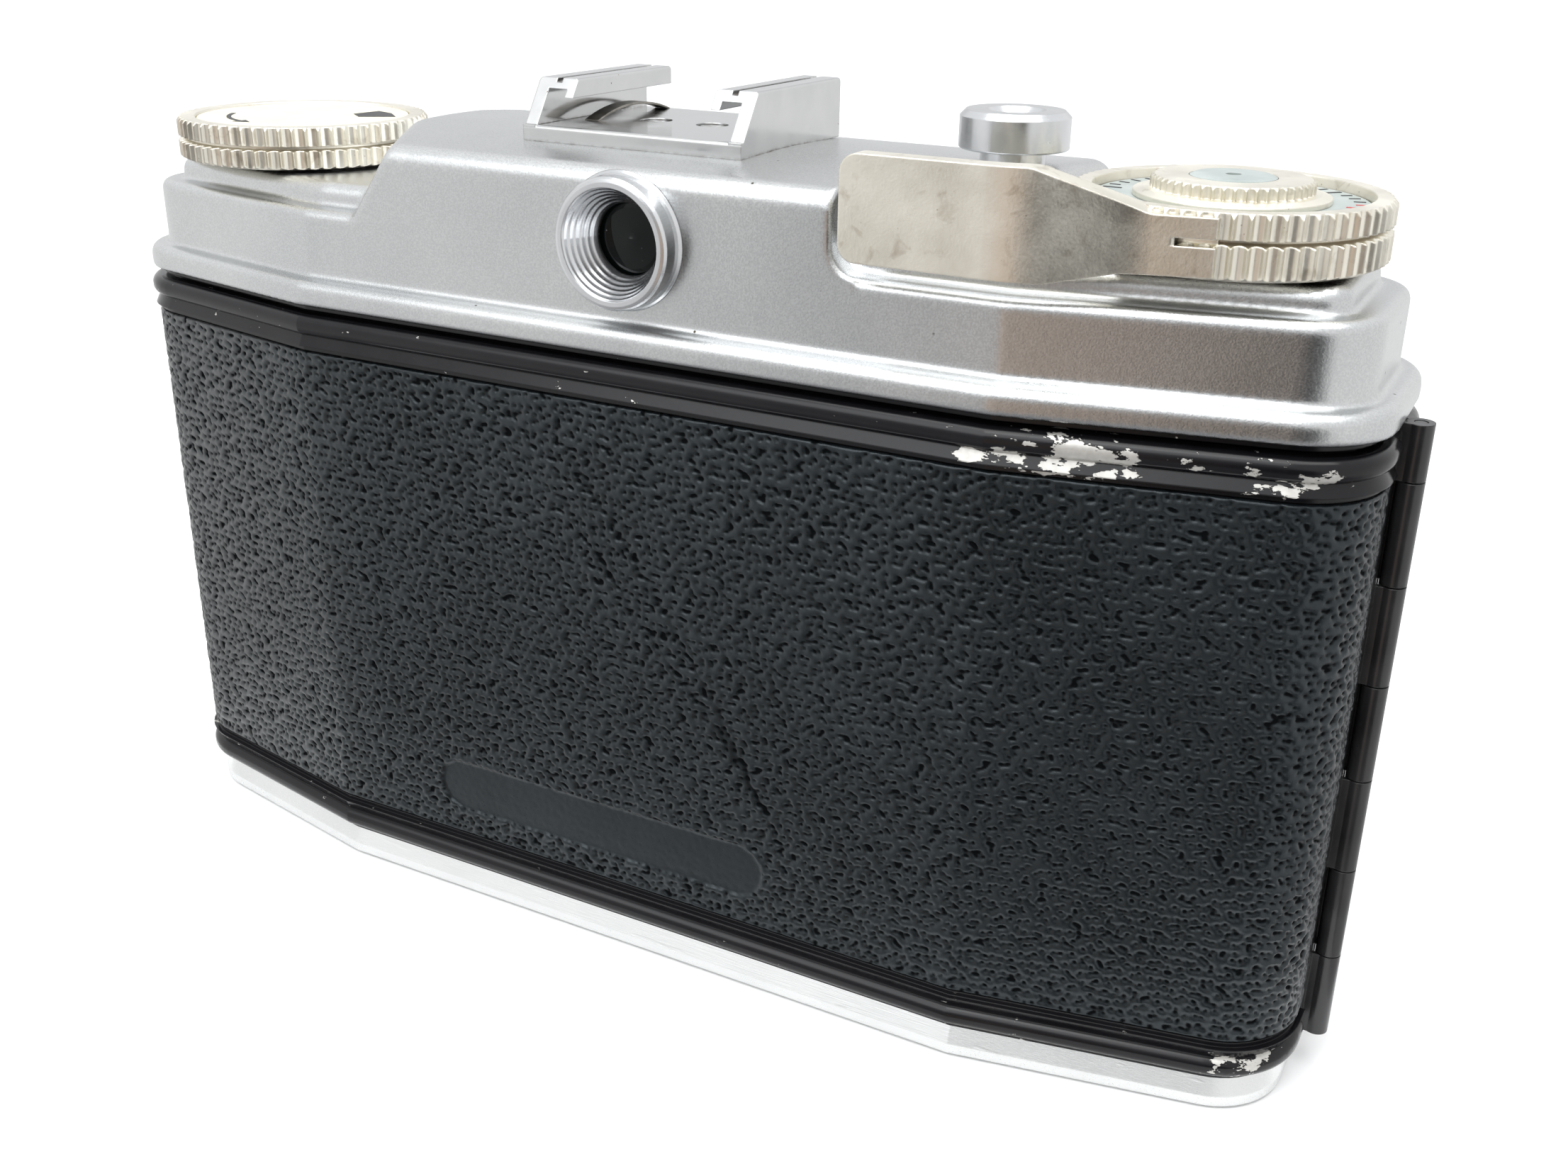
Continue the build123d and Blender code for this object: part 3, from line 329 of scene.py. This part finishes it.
MATERIALS = {
    "satin_aluminium": satin_cover(),
    "bright_aluminium": bright_base(),
    "chrome": chrome(),
    "nickel": nickel(),
    "turned_steel": turned_steel(),
    "black_enamel": black_enamel(),
    "leatherette": leatherette(),
    "bellows_cloth": cloth(),
    "glass": glass("glass", (0.93, 0.94, 1.0), 1.0),
    "dark_glass": glass("dark_glass", (0.002, 0.003, 0.003), 0.0, 0.2),
    "cream_plate": painted("cream_plate", (0.60, 0.575, 0.44), (0.66, 0.63, 0.50), 0.42),
    "grey_dial": painted("grey_dial", (0.25, 0.29, 0.28), (0.36, 0.40, 0.39), 0.3),
    "black_alloy": painted("black_alloy", (0.008, 0.008, 0.009), (0.022, 0.022, 0.023), 0.46),
    "red_enamel": painted("red_enamel", (0.42, 0.030, 0.025), (0.55, 0.045, 0.035), 0.3),
    "cast_black": painted("cast_black", (0.010, 0.010, 0.011), (0.028, 0.028, 0.030), 0.42),
    "black_steel": painted("black_steel", (0.006, 0.006, 0.007), (0.016, 0.016, 0.017), 0.24,
                           edge=0.15, Coat_Weight=0.2),
    "spring_steel": metal("spring_steel", (0.16, 0.15, 0.13), (0.38, 0.36, 0.33), 0.42, patch=1.5),
    "blade_steel": metal("blade_steel", (0.10, 0.10, 0.11), (0.17, 0.17, 0.18), 0.32, edge=0.0),
    "brass": metal("brass", (0.55, 0.38, 0.14), (0.72, 0.53, 0.24), 0.28),
}

SLOTS = {
    "satin_aluminium": "top_cover",
    "bright_aluminium": "bottom_plate",
    "turned_steel": "eyepiece_ring release_button rewind_shaft lever_shaft tripod_bush film_sprocket "
                    "body_strut_pins board_strut_pins",
    "dark_glass": "eyepiece_lens",
    "chrome": "finder_bezels accessory_shoe shoe_screws front_trim door_catch strut_front_left "
              "strut_front_right strut_rear_left strut_rear_right lens_board sync_socket aperture_ring "
              "speed_ring cocking_lever focus_ring fold_release_button",
    "glass": "finder_windows rangefinder_optics rear_element front_element",
    "spring_steel": "shoe_spring pressure_springs release_spring",
    "black_enamel": "body_casting back_door shutter_housing shutter_face rear_cell front_cell",
    "leatherette": "back_leather front_leather",
    "nickel": "base_screws door_latch rewind_knob advance_lever counter_knob release_collar",
    "cast_black": "pressure_plate take_up_spool",
    "black_alloy": "strut_box base_block",
    "black_steel": "door_hinge_leaf body_hinge_leaf hinge_pin",
    "cream_plate": "rewind_disc",
    "brass": "rewind_sleeve",
    "grey_dial": "counter_dial",
    "bellows_cloth": "bellows",
    "blade_steel": "lens_blades",
}


def finish_with(obj, slot):
    obj.data.materials.clear()
    obj.data.materials.append(MATERIALS[slot])
    return obj


for slot, names in SLOTS.items():
    for name in names.split():
        finish_with(NODES[name], slot)


def piece(name, points, faces, slot, body, smooth=True):
    """New mesh in the row frame, in metres, that rides on a body."""
    mesh = bpy.data.meshes.new(name)
    mesh.from_pydata([tuple(p) for p in points], [], [tuple(f) for f in faces])
    mesh.validate()
    if smooth:
        mesh.shade_smooth()
    obj = bpy.data.objects.new(name, mesh)
    bpy.context.scene.collection.objects.link(obj)
    finish_with(obj, slot)
    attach(obj, body)
    return obj


COVER_VOXEL = 0.22


def soften_stamping(obj):
    """Round the folds and corners of the pressed cover, as bent sheet metal has them."""
    skin = obj.modifiers.new("skin", "REMESH")
    skin.mode, skin.voxel_size, skin.use_smooth_shade = "VOXEL", COVER_VOXEL * MM, True
    smooth = obj.modifiers.new("soft", "SMOOTH")
    smooth.factor, smooth.iterations = 0.5, 12


soften_stamping(NODES["top_cover"])

# ---- marks on the two top wheels ------------------------------------------------------------------
WHEEL_X, WHEEL_Y = 47.9, 0.2
PLATE_TOP, DIAL_TOP, MARK = 76.15, 76.5, 0.04
TICKS, TICK_START, TICK_MID, TICK_OUTER = 40, 2.0, 9.5, 10.2


def raised_marks(name, outlines, centre, z, slot, body):
    """Thin inlaid marks, each given by its outline in plan about a wheel's centre."""
    points, faces = [], []
    for outline in outlines:
        area = sum(a[0] * b[1] - b[0] * a[1] for a, b in zip(outline, outline[1:] + outline[:1]))
        ring = outline if area > 0 else outline[::-1]
        start, n = len(points), len(outline)
        for height in (z - MARK, z + MARK):
            points += [((centre[0] + x) * MM, (centre[1] + y) * MM, height * MM) for x, y in ring]
        faces.append([start + n + i for i in range(n)])
        faces.append([start + n - 1 - i for i in range(n)])
        faces += [[start + i, start + (i + 1) % n, start + n + (i + 1) % n, start + n + i] for i in range(n)]
    return piece(name, points, faces, slot, body, smooth=False)


def polar(radius, degrees):
    return radius * math.cos(math.radians(degrees)), radius * math.sin(math.radians(degrees))


def make_marks():
    """Index patch and turning arrow of the rewind plate, and the ticks of the frame counter.
    Every fifth tick is longer and wider."""
    index = [(-3.5, -3.55), (-5.5, -2.05), (-8.55, -4.2), (-6.4, -6.1), (-4.0, -6.9)]
    bow = [polar(7.65, a) for a in range(24, 80, 4)] + [polar(7.2, a) for a in range(76, 22, -4)]
    head = [polar(6.7, 76), polar(8.2, 76), polar(7.4, 88)]
    centre = (WHEEL_X, WHEEL_Y)
    raised_marks("rewind_marks", [index, bow, head], centre, PLATE_TOP, "cast_black", "rewind")
    ticks = {"cast_black": [], "red_enamel": []}
    for i in range(TICKS):
        angle = i * 360 / TICKS + TICK_START
        inner, half_wide = (8.7, 0.16) if i % 5 == 0 else (9.3, 0.11)
        half = math.degrees(half_wide / TICK_MID)
        tick = [polar(inner, angle - half), polar(TICK_OUTER, angle - half),
                polar(TICK_OUTER, angle + half), polar(inner, angle + half)]
        ticks["red_enamel" if i % 12 in (8, 9) else "cast_black"].append(tick)
    for slot, outlines in ticks.items():
        raised_marks(f"counter_ticks_{slot}", outlines, (-WHEEL_X, WHEEL_Y), DIAL_TOP, slot, "counter")


make_marks()

# ---- springs ---------------------------------------------------------------------------------------
RELEASE_AT = (-29.3, -1.0)
COIL_LOW, COIL_TOP, COIL_R, WIRE_R, TURNS = 61.05, 65.95, 3.35, 0.3, 4.5


def make_coil():
    """Coil spring under the release button, with closed ends."""
    steps, sides = int(40 * TURNS), 10
    points, faces = [], []
    for i in range(steps + 1):
        t = i / steps
        climb = smoothstep(t, 0.06, 0.94)
        turn = 2 * math.pi * TURNS * t
        z = COIL_LOW + WIRE_R + (COIL_TOP - COIL_LOW - 2 * WIRE_R) * float(climb)
        for j in range(sides):
            a = 2 * math.pi * j / sides
            radius = COIL_R + WIRE_R * math.cos(a)
            points.append(((RELEASE_AT[0] + radius * math.cos(turn)) * MM,
                           (RELEASE_AT[1] + radius * math.sin(turn)) * MM, (z + WIRE_R * math.sin(a)) * MM))
    for i in range(steps):
        for j in range(sides):
            a, b = i * sides + j, i * sides + (j + 1) % sides
            faces.append((a, a + sides, b + sides, b))
    faces.append(tuple(range(sides)))
    faces.append(tuple(steps * sides + j for j in reversed(range(sides))))
    coil = piece("release_coil", points, faces, "spring_steel", "camera_body")
    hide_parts("release_spring")
    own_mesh(coil)


LEAF_HALF, LEAF_RISE, LEAF_FOOT = 20.0, 4.34, 10.83
LEAF_LOWS, LEAF_WIDE, LEAF_THICK, LEAF_END = (22.0, 36.0), 5.0, 0.25, 0.5


def make_leaf_springs():
    """Two bowed leaves between the door and the pressure plate."""
    radius = (LEAF_HALF ** 2 + LEAF_RISE ** 2) / (2 * LEAF_RISE)
    points, faces = [], []
    xs = np.linspace(-LEAF_HALF + LEAF_END, LEAF_HALF - LEAF_END, 41)
    for low in LEAF_LOWS:
        start, high = len(points), low + LEAF_WIDE
        for x in xs:
            y = LEAF_FOOT + math.sqrt(radius ** 2 - x * x) - radius + LEAF_RISE
            for thick, z in ((0.0, low), (0.0, high), (LEAF_THICK, high), (LEAF_THICK, low)):
                points.append((x * MM, (y - thick) * MM, z * MM))
        for i in range(len(xs) - 1):
            for j in range(4):
                a, b = start + 4 * i + j, start + 4 * i + (j + 1) % 4
                faces.append((a, b, b + 4, a + 4))
        last = start + 4 * (len(xs) - 1)
        faces.append((start + 3, start + 2, start + 1, start))
        faces.append((last, last + 1, last + 2, last + 3))
    leaves = piece("pressure_leaves", points, faces, "spring_steel", "door", smooth=False)
    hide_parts("pressure_springs")
    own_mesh(leaves)


def smoothstep(value, low, high):
    t = np.clip((value - low) / (high - low), 0, 1)
    return t * t * (3 - 2 * t)


make_coil()
make_leaf_springs()

# ---- leather --------------------------------------------------------------------------------------
WALL_X, WALL_Y, FLAT_X, END_SLOPE, CORNER = 61.7, 15.0, 35.1, 0.197, 6.0
SKIN, UNDER_SKIN = 1.8, 1.3
HINGE_CLEAR, SPLIT_CLEAR = 2.9, 0.9
LEATHER_LOW, LEATHER_TOP = 7.5, 56.6
PITCH, JITTER, LEAN = 0.80, 0.33, 0.5
PIT_WIDE, PIT_TALL, PIT_DEEP = (0.21, 0.35), (0.17, 0.24), (0.8, 1.2)
PIT_DEPTH, PIT_EDGE, PIT_FLOOR = 0.29, 1.6, 1.15
SWELL, DROP_MOST, EDGE_ROUND = 0.035, 0.42, 0.34


def plan_curve(grow, sign, x_from, x_to, y_end, step):
    """Even points along the camera's plan at an offset, from one end of a skin to the other.
    sign is +1 for the back and -1 for the front."""
    x, y = WALL_X + grow, WALL_Y + grow
    slope_end = y - END_SLOPE * (x - FLAT_X)
    corner = [(-x, 0.0), (-x, slope_end), (-FLAT_X, y), (FLAT_X, y), (x, slope_end), (x, 0.0)]
    rounded = [np.array(corner[0])]
    for i in range(1, 5):
        here = np.array(corner[i])
        back = np.array(corner[i - 1]) - here
        on = np.array(corner[i + 1]) - here
        back, on = back / np.linalg.norm(back), on / np.linalg.norm(on)
        radius = CORNER + grow if i in (1, 4) else 0.8
        half = math.acos(np.clip(back @ on, -1, 1)) / 2
        reach = radius / math.tan(half)
        centre = here + (back + on) / np.linalg.norm(back + on) * radius / math.sin(half)
        start, end = here + back * reach - centre, here + on * reach - centre
        a0, a1 = math.atan2(start[1], start[0]), math.atan2(end[1], end[0])
        a1 = a0 + (a1 - a0 + math.pi) % (2 * math.pi) - math.pi
        for t in np.linspace(0, 1, 40):
            a = a0 + (a1 - a0) * t
            rounded.append(centre + radius * np.array([math.cos(a), math.sin(a)]))
    rounded.append(np.array(corner[5]))
    line = np.array(rounded)
    along = np.r_[0, np.cumsum(np.linalg.norm(np.diff(line, axis=0), axis=1))]

    def at(s):
        return np.stack([np.interp(s, along, line[:, 0]), np.interp(s, along, line[:, 1])], 1)

    fine = np.linspace(0, along[-1], 8000)
    p = at(fine)
    x, y = p[:, 0], p[:, 1]
    low = fine[(x < 0) & (y >= y_end[0])][0] if x_from is None else np.interp(x_from, x, fine)
    high = fine[(x > 0) & (y >= y_end[1])][-1] if x_to is None else np.interp(x_to, x, fine)
    s = np.linspace(low, high, int((high - low) / step) + 1)
    p = at(s)
    ahead = at(s + 0.05) - at(s - 0.05)
    ahead /= np.linalg.norm(ahead, axis=1)[:, None]
    normal = np.stack([-ahead[:, 1], ahead[:, 0]], 1)
    p[:, 1] *= sign
    normal[:, 1] *= sign
    return s, p, normal


def pebbles(s, z, seed):
    """Relief of the embossed grain: soft irregular pits on a jittered lattice. 0 is a pit, 1 a ridge."""
    rng = np.random.default_rng(seed)
    rows, cols = int(z.max() / PITCH) + 8, int((s.max() - s.min()) / PITCH) + 8
    jitter = rng.uniform(-JITTER, JITTER, (cols, rows, 2))
    wide = rng.uniform(*PIT_WIDE, (cols, rows))
    tall = rng.uniform(*PIT_TALL, (cols, rows))
    deep = rng.uniform(*PIT_DEEP, (cols, rows))
    lean = rng.normal(0.0, LEAN, (cols, rows))
    u, v = (s - s.min()) / PITCH + 3, z / PITCH + 3
    i0, j0 = np.floor(u).astype(int), np.floor(v).astype(int)
    sunk = np.zeros_like(u)
    for di in (-1, 0, 1):
        for dj in (-1, 0, 1):
            i, j = i0 + di, j0 + dj
            du = (u - i - 0.5 * (j % 2) - jitter[i, j, 0]) * PITCH
            dv = (v - j - jitter[i, j, 1]) * PITCH
            c, n = np.cos(lean[i, j]), np.sin(lean[i, j])
            a, b = (du * c + dv * n) / wide[i, j], (dv * c - du * n) / tall[i, j]
            sunk += deep[i, j] * np.exp(-(a * a + b * b) / 2 * PIT_EDGE)
    return 1 - np.clip(sunk, 0, PIT_FLOOR) / PIT_FLOOR


def waves(s, z, seed, sizes=(6.0, 2.5)):
    """Slow unevenness of the skin, about -1 to 1."""
    rng = np.random.default_rng(seed)
    total = np.zeros_like(s)
    for size in sizes:
        for _ in range(5):
            a, phase = rng.uniform(0, math.pi), rng.uniform(0, 2 * math.pi)
            along = s * math.cos(a) + z * math.sin(a)
            total += np.sin(along * 2 * math.pi / size / rng.uniform(0.7, 1.5) + phase)
    return total / (5 * len(sizes)) * 1.6


def line_distance(x, z, points):
    best = np.full(x.shape, 1e9)
    for (x0, z0), (x1, z1) in zip(points, points[1:]):
        dx, dz = x1 - x0, z1 - z0
        t = np.clip(((x - x0) * dx + (z - z0) * dz) / (dx * dx + dz * dz), 0, 1)
        best = np.minimum(best, np.hypot(x - x0 - t * dx, z - z0 - t * dz))
    return best


def fold_over(distance):
    """How far a folded edge falls back at a distance inside it."""
    open_share = 1 - np.clip(distance / EDGE_ROUND, 0, 1)
    return EDGE_ROUND * (1 - np.sqrt(np.clip(1 - open_share ** 2, 0, 1)))


def make_skin(name, sign, x_from, x_to, y_end, body, seed, step, label=None, scars=(), holes=()):
    """Leathercloth bonded to the shell: a dense relief in front, folded edges and a plain back."""
    s, p, normal = plan_curve(SKIN, sign, x_from, x_to, y_end, step)
    s0, back, _ = plan_curve(UNDER_SKIN, sign, x_from, x_to, y_end, step)
    back = np.stack([np.interp(np.linspace(0, 1, len(s)), np.linspace(0, 1, len(s0)), back[:, k])
                     for k in (0, 1)], 1)
    z = np.linspace(LEATHER_LOW + 0.02, LEATHER_TOP - 0.02, int((LEATHER_TOP - LEATHER_LOW) / step) + 1)
    S, Z = np.meshgrid(s, z, indexing="ij")
    X = np.repeat(p[:, 0][:, None], len(z), 1)
    relief = pebbles(S, Z, seed)
    sink = PIT_DEPTH * (1 - relief) + SWELL * waves(S, Z, seed + 1)
    if label is not None:
        cx, cz, half, radius = label
        flat = np.maximum(np.abs(X - cx) - (half - radius), 0)
        d = np.hypot(flat, Z - cz) - radius
        inside = smoothstep(-d, 0.0, 0.35)
        rim = np.exp(-(d / 0.28) ** 2)
        sink = sink * (1 - 0.92 * inside) + 0.28 * inside - 0.06 * rim
        relief = relief * (1 - inside) + inside * (0.66 + 0.12 * relief)
    for points, width, deep in scars:
        wander = 0.35 * waves(S, Z, seed + 5, (3.0,))
        d = line_distance(X + wander, Z, points)
        cut = np.exp(-(d / width) ** 2)
        sink = sink + deep * cut
        # Lowering the relief along a scar also darkens its colour with the painted shade of the pits.
        relief = relief * (1 - 0.45 * cut)
    edge = np.minimum(Z - LEATHER_LOW, LEATHER_TOP - Z)
    ends = np.minimum(S - S.min(), S.max() - S) if x_from is None or x_to is None else 9.0
    sink = np.clip(sink, -0.02, DROP_MOST) * smoothstep(edge, 0.0, 0.5) + fold_over(np.minimum(edge, ends))
    front = np.empty((*S.shape, 3))
    front[..., 0] = X - normal[:, 0][:, None] * sink
    front[..., 1] = p[:, 1][:, None] - normal[:, 1][:, None] * sink
    front[..., 2] = Z
    n, m = S.shape
    index = np.arange(n * m).reshape(n, m)
    quads = np.stack([index[:-1, :-1], index[1:, :-1], index[1:, 1:], index[:-1, 1:]], -1).reshape(-1, 4)
    if holes:
        centre = front.reshape(-1, 3)[quads].mean(1)
        for test, pull in holes:
            keep = ~test(centre)
            quads, centre = quads[keep], centre[keep]
            pull(front)
    low = n * m + np.arange(n)
    high = low + n
    points = np.concatenate([front.reshape(-1, 3),
                             np.c_[back, np.full(n, z[0])], np.c_[back, np.full(n, z[-1])]]) * MM
    rim = [np.stack([low[:-1], low[1:], index[1:, 0], index[:-1, 0]], -1),
           np.stack([index[:-1, -1], index[1:, -1], high[1:], high[:-1]], -1),
           np.stack([high[:-1], high[1:], low[1:], low[:-1]], -1)]
    faces = [tuple(f) for f in np.concatenate([quads, *rim])]
    faces += [(*index[0], high[0], low[0]), (*index[-1][::-1], low[-1], high[-1])]
    if sign < 0:
        faces = [f[::-1] for f in faces]
    obj = piece(name, points, faces, "leatherette", body)
    layer = obj.data.attributes.new("relief", "FLOAT", "POINT")
    layer.data.foreach_set("value", np.r_[relief.ravel(), np.full(2 * n, 0.3)].astype(np.float32))
    return obj


GRAIN_STEP = 0.17
LABEL = (2.9, 13.2, 19.0, 2.9)
SCARS = [([(4.0, 51.0), (-2.0, 43.0), (-9.5, 32.0), (-15.5, 21.0)], 0.34, 0.10),
         ([(5.5, 47.0), (-2.5, 37.0), (-12.0, 26.5), (-18.0, 17.5)], 0.28, 0.08)]
skin = make_skin("back_skin", 1, None, None, (HINGE_CLEAR, SPLIT_CLEAR), "door", 11, GRAIN_STEP,
                 label=LABEL, scars=SCARS)
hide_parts("back_leather")

FRONT_X, FRONT_STEP = 34.5, GRAIN_STEP * 1.25
LATCH = (-7.2, -4.8, 28.0, 35.2)
BUTTON_X, BUTTON_Z, BUTTON_HOLE = 38.5, 47.0, 3.6


def button_hole(points):
    return np.hypot(points[..., 0] - BUTTON_X, points[..., 2] - BUTTON_Z) < BUTTON_HOLE


def round_off(front):
    d = np.hypot(front[..., 0] - BUTTON_X, front[..., 2] - BUTTON_Z)
    near = d < BUTTON_HOLE
    grow = np.where(near, BUTTON_HOLE / np.maximum(d, 0.1), 1.0)
    front[..., 0] = BUTTON_X + (front[..., 0] - BUTTON_X) * grow
    front[..., 2] = BUTTON_Z + (front[..., 2] - BUTTON_Z) * grow


def latch_hole(points):
    inside = (points[..., 1] > LATCH[0]) & (points[..., 1] < LATCH[1])
    return inside & (points[..., 2] > LATCH[2]) & (points[..., 2] < LATCH[3]) & (points[..., 0] > 55)


left = make_skin("front_skin_left", -1, FRONT_X, None, (0, SPLIT_CLEAR), "camera_body", 23, FRONT_STEP,
                 holes=[(button_hole, round_off), (latch_hole, lambda front: None)])
make_skin("front_skin_right", -1, None, -FRONT_X, (HINGE_CLEAR, SPLIT_CLEAR), "camera_body", 29, FRONT_STEP)
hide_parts("front_leather")

# ---- bellows --------------------------------------------------------------------------------------
BELLOWS_REAR, BELLOWS_FRONT, AXIS_Z = 7.5, -34.0, 31.5
FOLDS, CARD = 11, 0.28


def bellows_section(half_x, half_z, cut):
    """Eight-sided section, anticlockwise seen from the front."""
    x, z = half_x - cut, half_z - cut
    return [(half_x, -z), (half_x, z), (x, half_z), (-x, half_z),
            (-half_x, z), (-half_x, -z), (-x, -half_z), (x, -half_z)]


def make_bellows():
    """Two skins of pleated cloth: eight-sided, with crisp ridges and a card stiffener in each panel."""
    rings = []
    for i in range(2 * FOLDS + 1):
        t = i / (2 * FOLDS)
        y = BELLOWS_REAR + (BELLOWS_FRONT - BELLOWS_REAR) * t
        out = i % 2 == 1
        half_x, half_z = 23.0 - 2.8 * t, 18.6 - 1.2 * t
        shrink, cut = (0.0, 5.2) if out else (2.7, 3.0)
        rings.append((y, bellows_section(half_x - shrink, half_z - shrink, cut)))
    points, faces = [], []
    for skin_depth in (0.0, 0.35):
        for y, section in rings:
            for x, z in section:
                pull = 1 - skin_depth / 20
                points.append((x * pull * MM, y * MM, (AXIS_Z + z * pull) * MM))
    count, shell = 8, 8 * len(rings)
    for k in range(len(rings) - 1):
        for j in range(count):
            a, b = k * count + j, k * count + (j + 1) % count
            faces.append((a, b, b + count, a + count))
            faces.append((a + count + shell, b + count + shell, b + shell, a + shell))
    last = (len(rings) - 1) * count
    for j in range(count):
        a, b = j, (j + 1) % count
        faces.append((b, a, a + shell, b + shell))
        faces.append((last + a, last + b, last + b + shell, last + a + shell))
    obj = piece("bellows_cloth", points, faces, "bellows_cloth", "camera_body", smooth=False)
    work = bmesh.new()
    work.from_mesh(obj.data)
    bmesh.ops.recalc_face_normals(work, faces=work.faces)
    bmesh.ops.bevel(work, geom=work.edges[:], offset=CARD * MM, segments=2, affect="EDGES",
                    clamp_overlap=True)
    work.to_mesh(obj.data)
    work.free()
    obj.data.shade_smooth()
    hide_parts("bellows")
    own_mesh(obj)
    return obj


make_bellows()

# ---- floor and light ------------------------------------------------------------------------------
FLOOR_HALF, FLOOR_Z = 3.0, -0.0002
SHEET_X, SHEET_Y, SHEET_Z = 0.076, 0.028, -0.00018


def make_ground(name, half_x, half_y, z):
    mesh = bpy.data.meshes.new(name)
    corners = [(-half_x, -half_y, z), (half_x, -half_y, z), (half_x, half_y, z), (-half_x, half_y, z)]
    mesh.from_pydata(corners, [], [(0, 1, 2, 3)])
    ground = bpy.data.objects.new(name, mesh)
    bpy.context.scene.collection.objects.link(ground)
    return ground


def make_backdrop():
    """Pale round wall behind everything, which casts no light and no shadow on the object."""
    sides, radius, top = 96, 2.9, 3.0
    ring = [polar(radius, 360 * i / sides) for i in range(sides)]
    points = [(x, y, z) for z in (FLOOR_Z, top) for x, y in ring]
    turns = [(i, (i + 1) % sides) for i in range(sides)]
    mesh = bpy.data.meshes.new("backdrop")
    mesh.from_pydata(points, [], [(a, a + sides, b + sides, b) for a, b in turns])
    wall = bpy.data.objects.new("backdrop", mesh)
    bpy.context.scene.collection.objects.link(wall)
    wall.visible_glossy = wall.visible_diffuse = wall.visible_shadow = wall.visible_transmission = False
    return wall


def make_stage():
    """White floor and backdrop. In reflections only the sheet round the camera shows, and else the room."""
    p = Paint("floor", Specular_IOR_Level=0.2)
    p.set("Base Color", p.mix(p.noise(60.0, 3.0), (0.86, 0.86, 0.86), (0.9, 0.9, 0.9)))
    p.set("Roughness", p.remap(p.noise(5.0, 2.0), 0.0, 1.0, 0.5, 0.6))
    floor = make_ground("floor", FLOOR_HALF, FLOOR_HALF, FLOOR_Z)
    sheet = make_ground("sheet", SHEET_X, SHEET_Y, SHEET_Z)
    backdrop = make_backdrop()
    floor.visible_glossy = False
    for ground in (floor, sheet, backdrop):
        ground.data.materials.append(p.material)


def area_light(name, at, aim, size, power):
    data = bpy.data.lights.new(name, "AREA")
    data.energy, data.shape, data.size = power, "SQUARE", size
    lamp = bpy.data.objects.new(name, data)
    bpy.context.scene.collection.objects.link(lamp)
    lamp.location = at
    lamp.rotation_mode = "QUATERNION"
    lamp.rotation_quaternion = (Vector(aim) - Vector(at)).to_track_quat("-Z", "Y")


SIDE_GLOW = 1.03
ROOM = [
    # direction, cosines where the patch starts and is full, its glow
    ((0, 0, 1), 0.05, 0.75, (1.10, 1.11, 1.12)),              # ceiling
    ((0, 0, -1), 0.35, 0.80, (0.30, 0.30, 0.31)),             # far below, past the sheet
    ((0.43, -0.89, 0.13), 0.80, 0.98, (0.80, 0.81, 0.82)),    # far wall
    ((-0.05, 0.97, -0.25), 0.72, 1.0, (0.34, 0.345, 0.355)),  # the dim side, behind the photographer
    ((-0.02, 0.97, -0.24), 0.945, 0.985, (0.74, 0.58, 0.47)),  # the photographer, warm
    ((-0.44, 0.86, -0.24), 0.90, 0.98, (0.02, 0.02, 0.02)),  # a dark gap beside them
    ((0.20, 0.68, 0.70), 0.86, 0.96, (3.6, 3.65, 3.7)),       # lamp high behind the camera
]


def make_world():
    """White room with soft patches, as the camera's bright metal mirrors it."""
    world = bpy.data.worlds.new("studio")
    bpy.context.scene.world = world
    world.use_nodes = True
    nodes, links = world.node_tree.nodes, world.node_tree.links
    way = nodes.new("ShaderNodeTexCoord").outputs["Generated"]

    def facing(direction, low, high):
        dot = nodes.new("ShaderNodeVectorMath")
        dot.operation = "DOT_PRODUCT"
        links.new(way, dot.inputs[0])
        dot.inputs[1].default_value = Vector(direction).normalized()
        made = nodes.new("ShaderNodeMapRange")
        made.interpolation_type = "SMOOTHSTEP"
        links.new(dot.outputs["Value"], made.inputs["Value"])
        made.inputs["From Min"].default_value, made.inputs["From Max"].default_value = low, high
        return made.outputs[0]

    colour = (SIDE_GLOW, SIDE_GLOW, SIDE_GLOW, 1.0)
    for direction, low, high, target in ROOM:
        mixer = nodes.new("ShaderNodeMix")
        mixer.data_type = "RGBA"
        links.new(facing(direction, low, high), mixer.inputs[0])
        if isinstance(colour, tuple):
            mixer.inputs[6].default_value = colour
        else:
            links.new(colour, mixer.inputs[6])
        mixer.inputs[7].default_value = (*target, 1.0)
        colour = mixer.outputs[2]
    links.new(colour, nodes["Background"].inputs["Color"])


def make_light():
    make_world()
    area_light("overhead", (-0.05, 0.05, 0.55), (0, 0, 0.03), 0.5, 2.5)
    view = bpy.context.scene.view_settings
    view.view_transform, view.look = "Standard", "None"
    view.exposure, view.gamma = 0.0, 1.0


make_camera()
make_stage()
make_light()
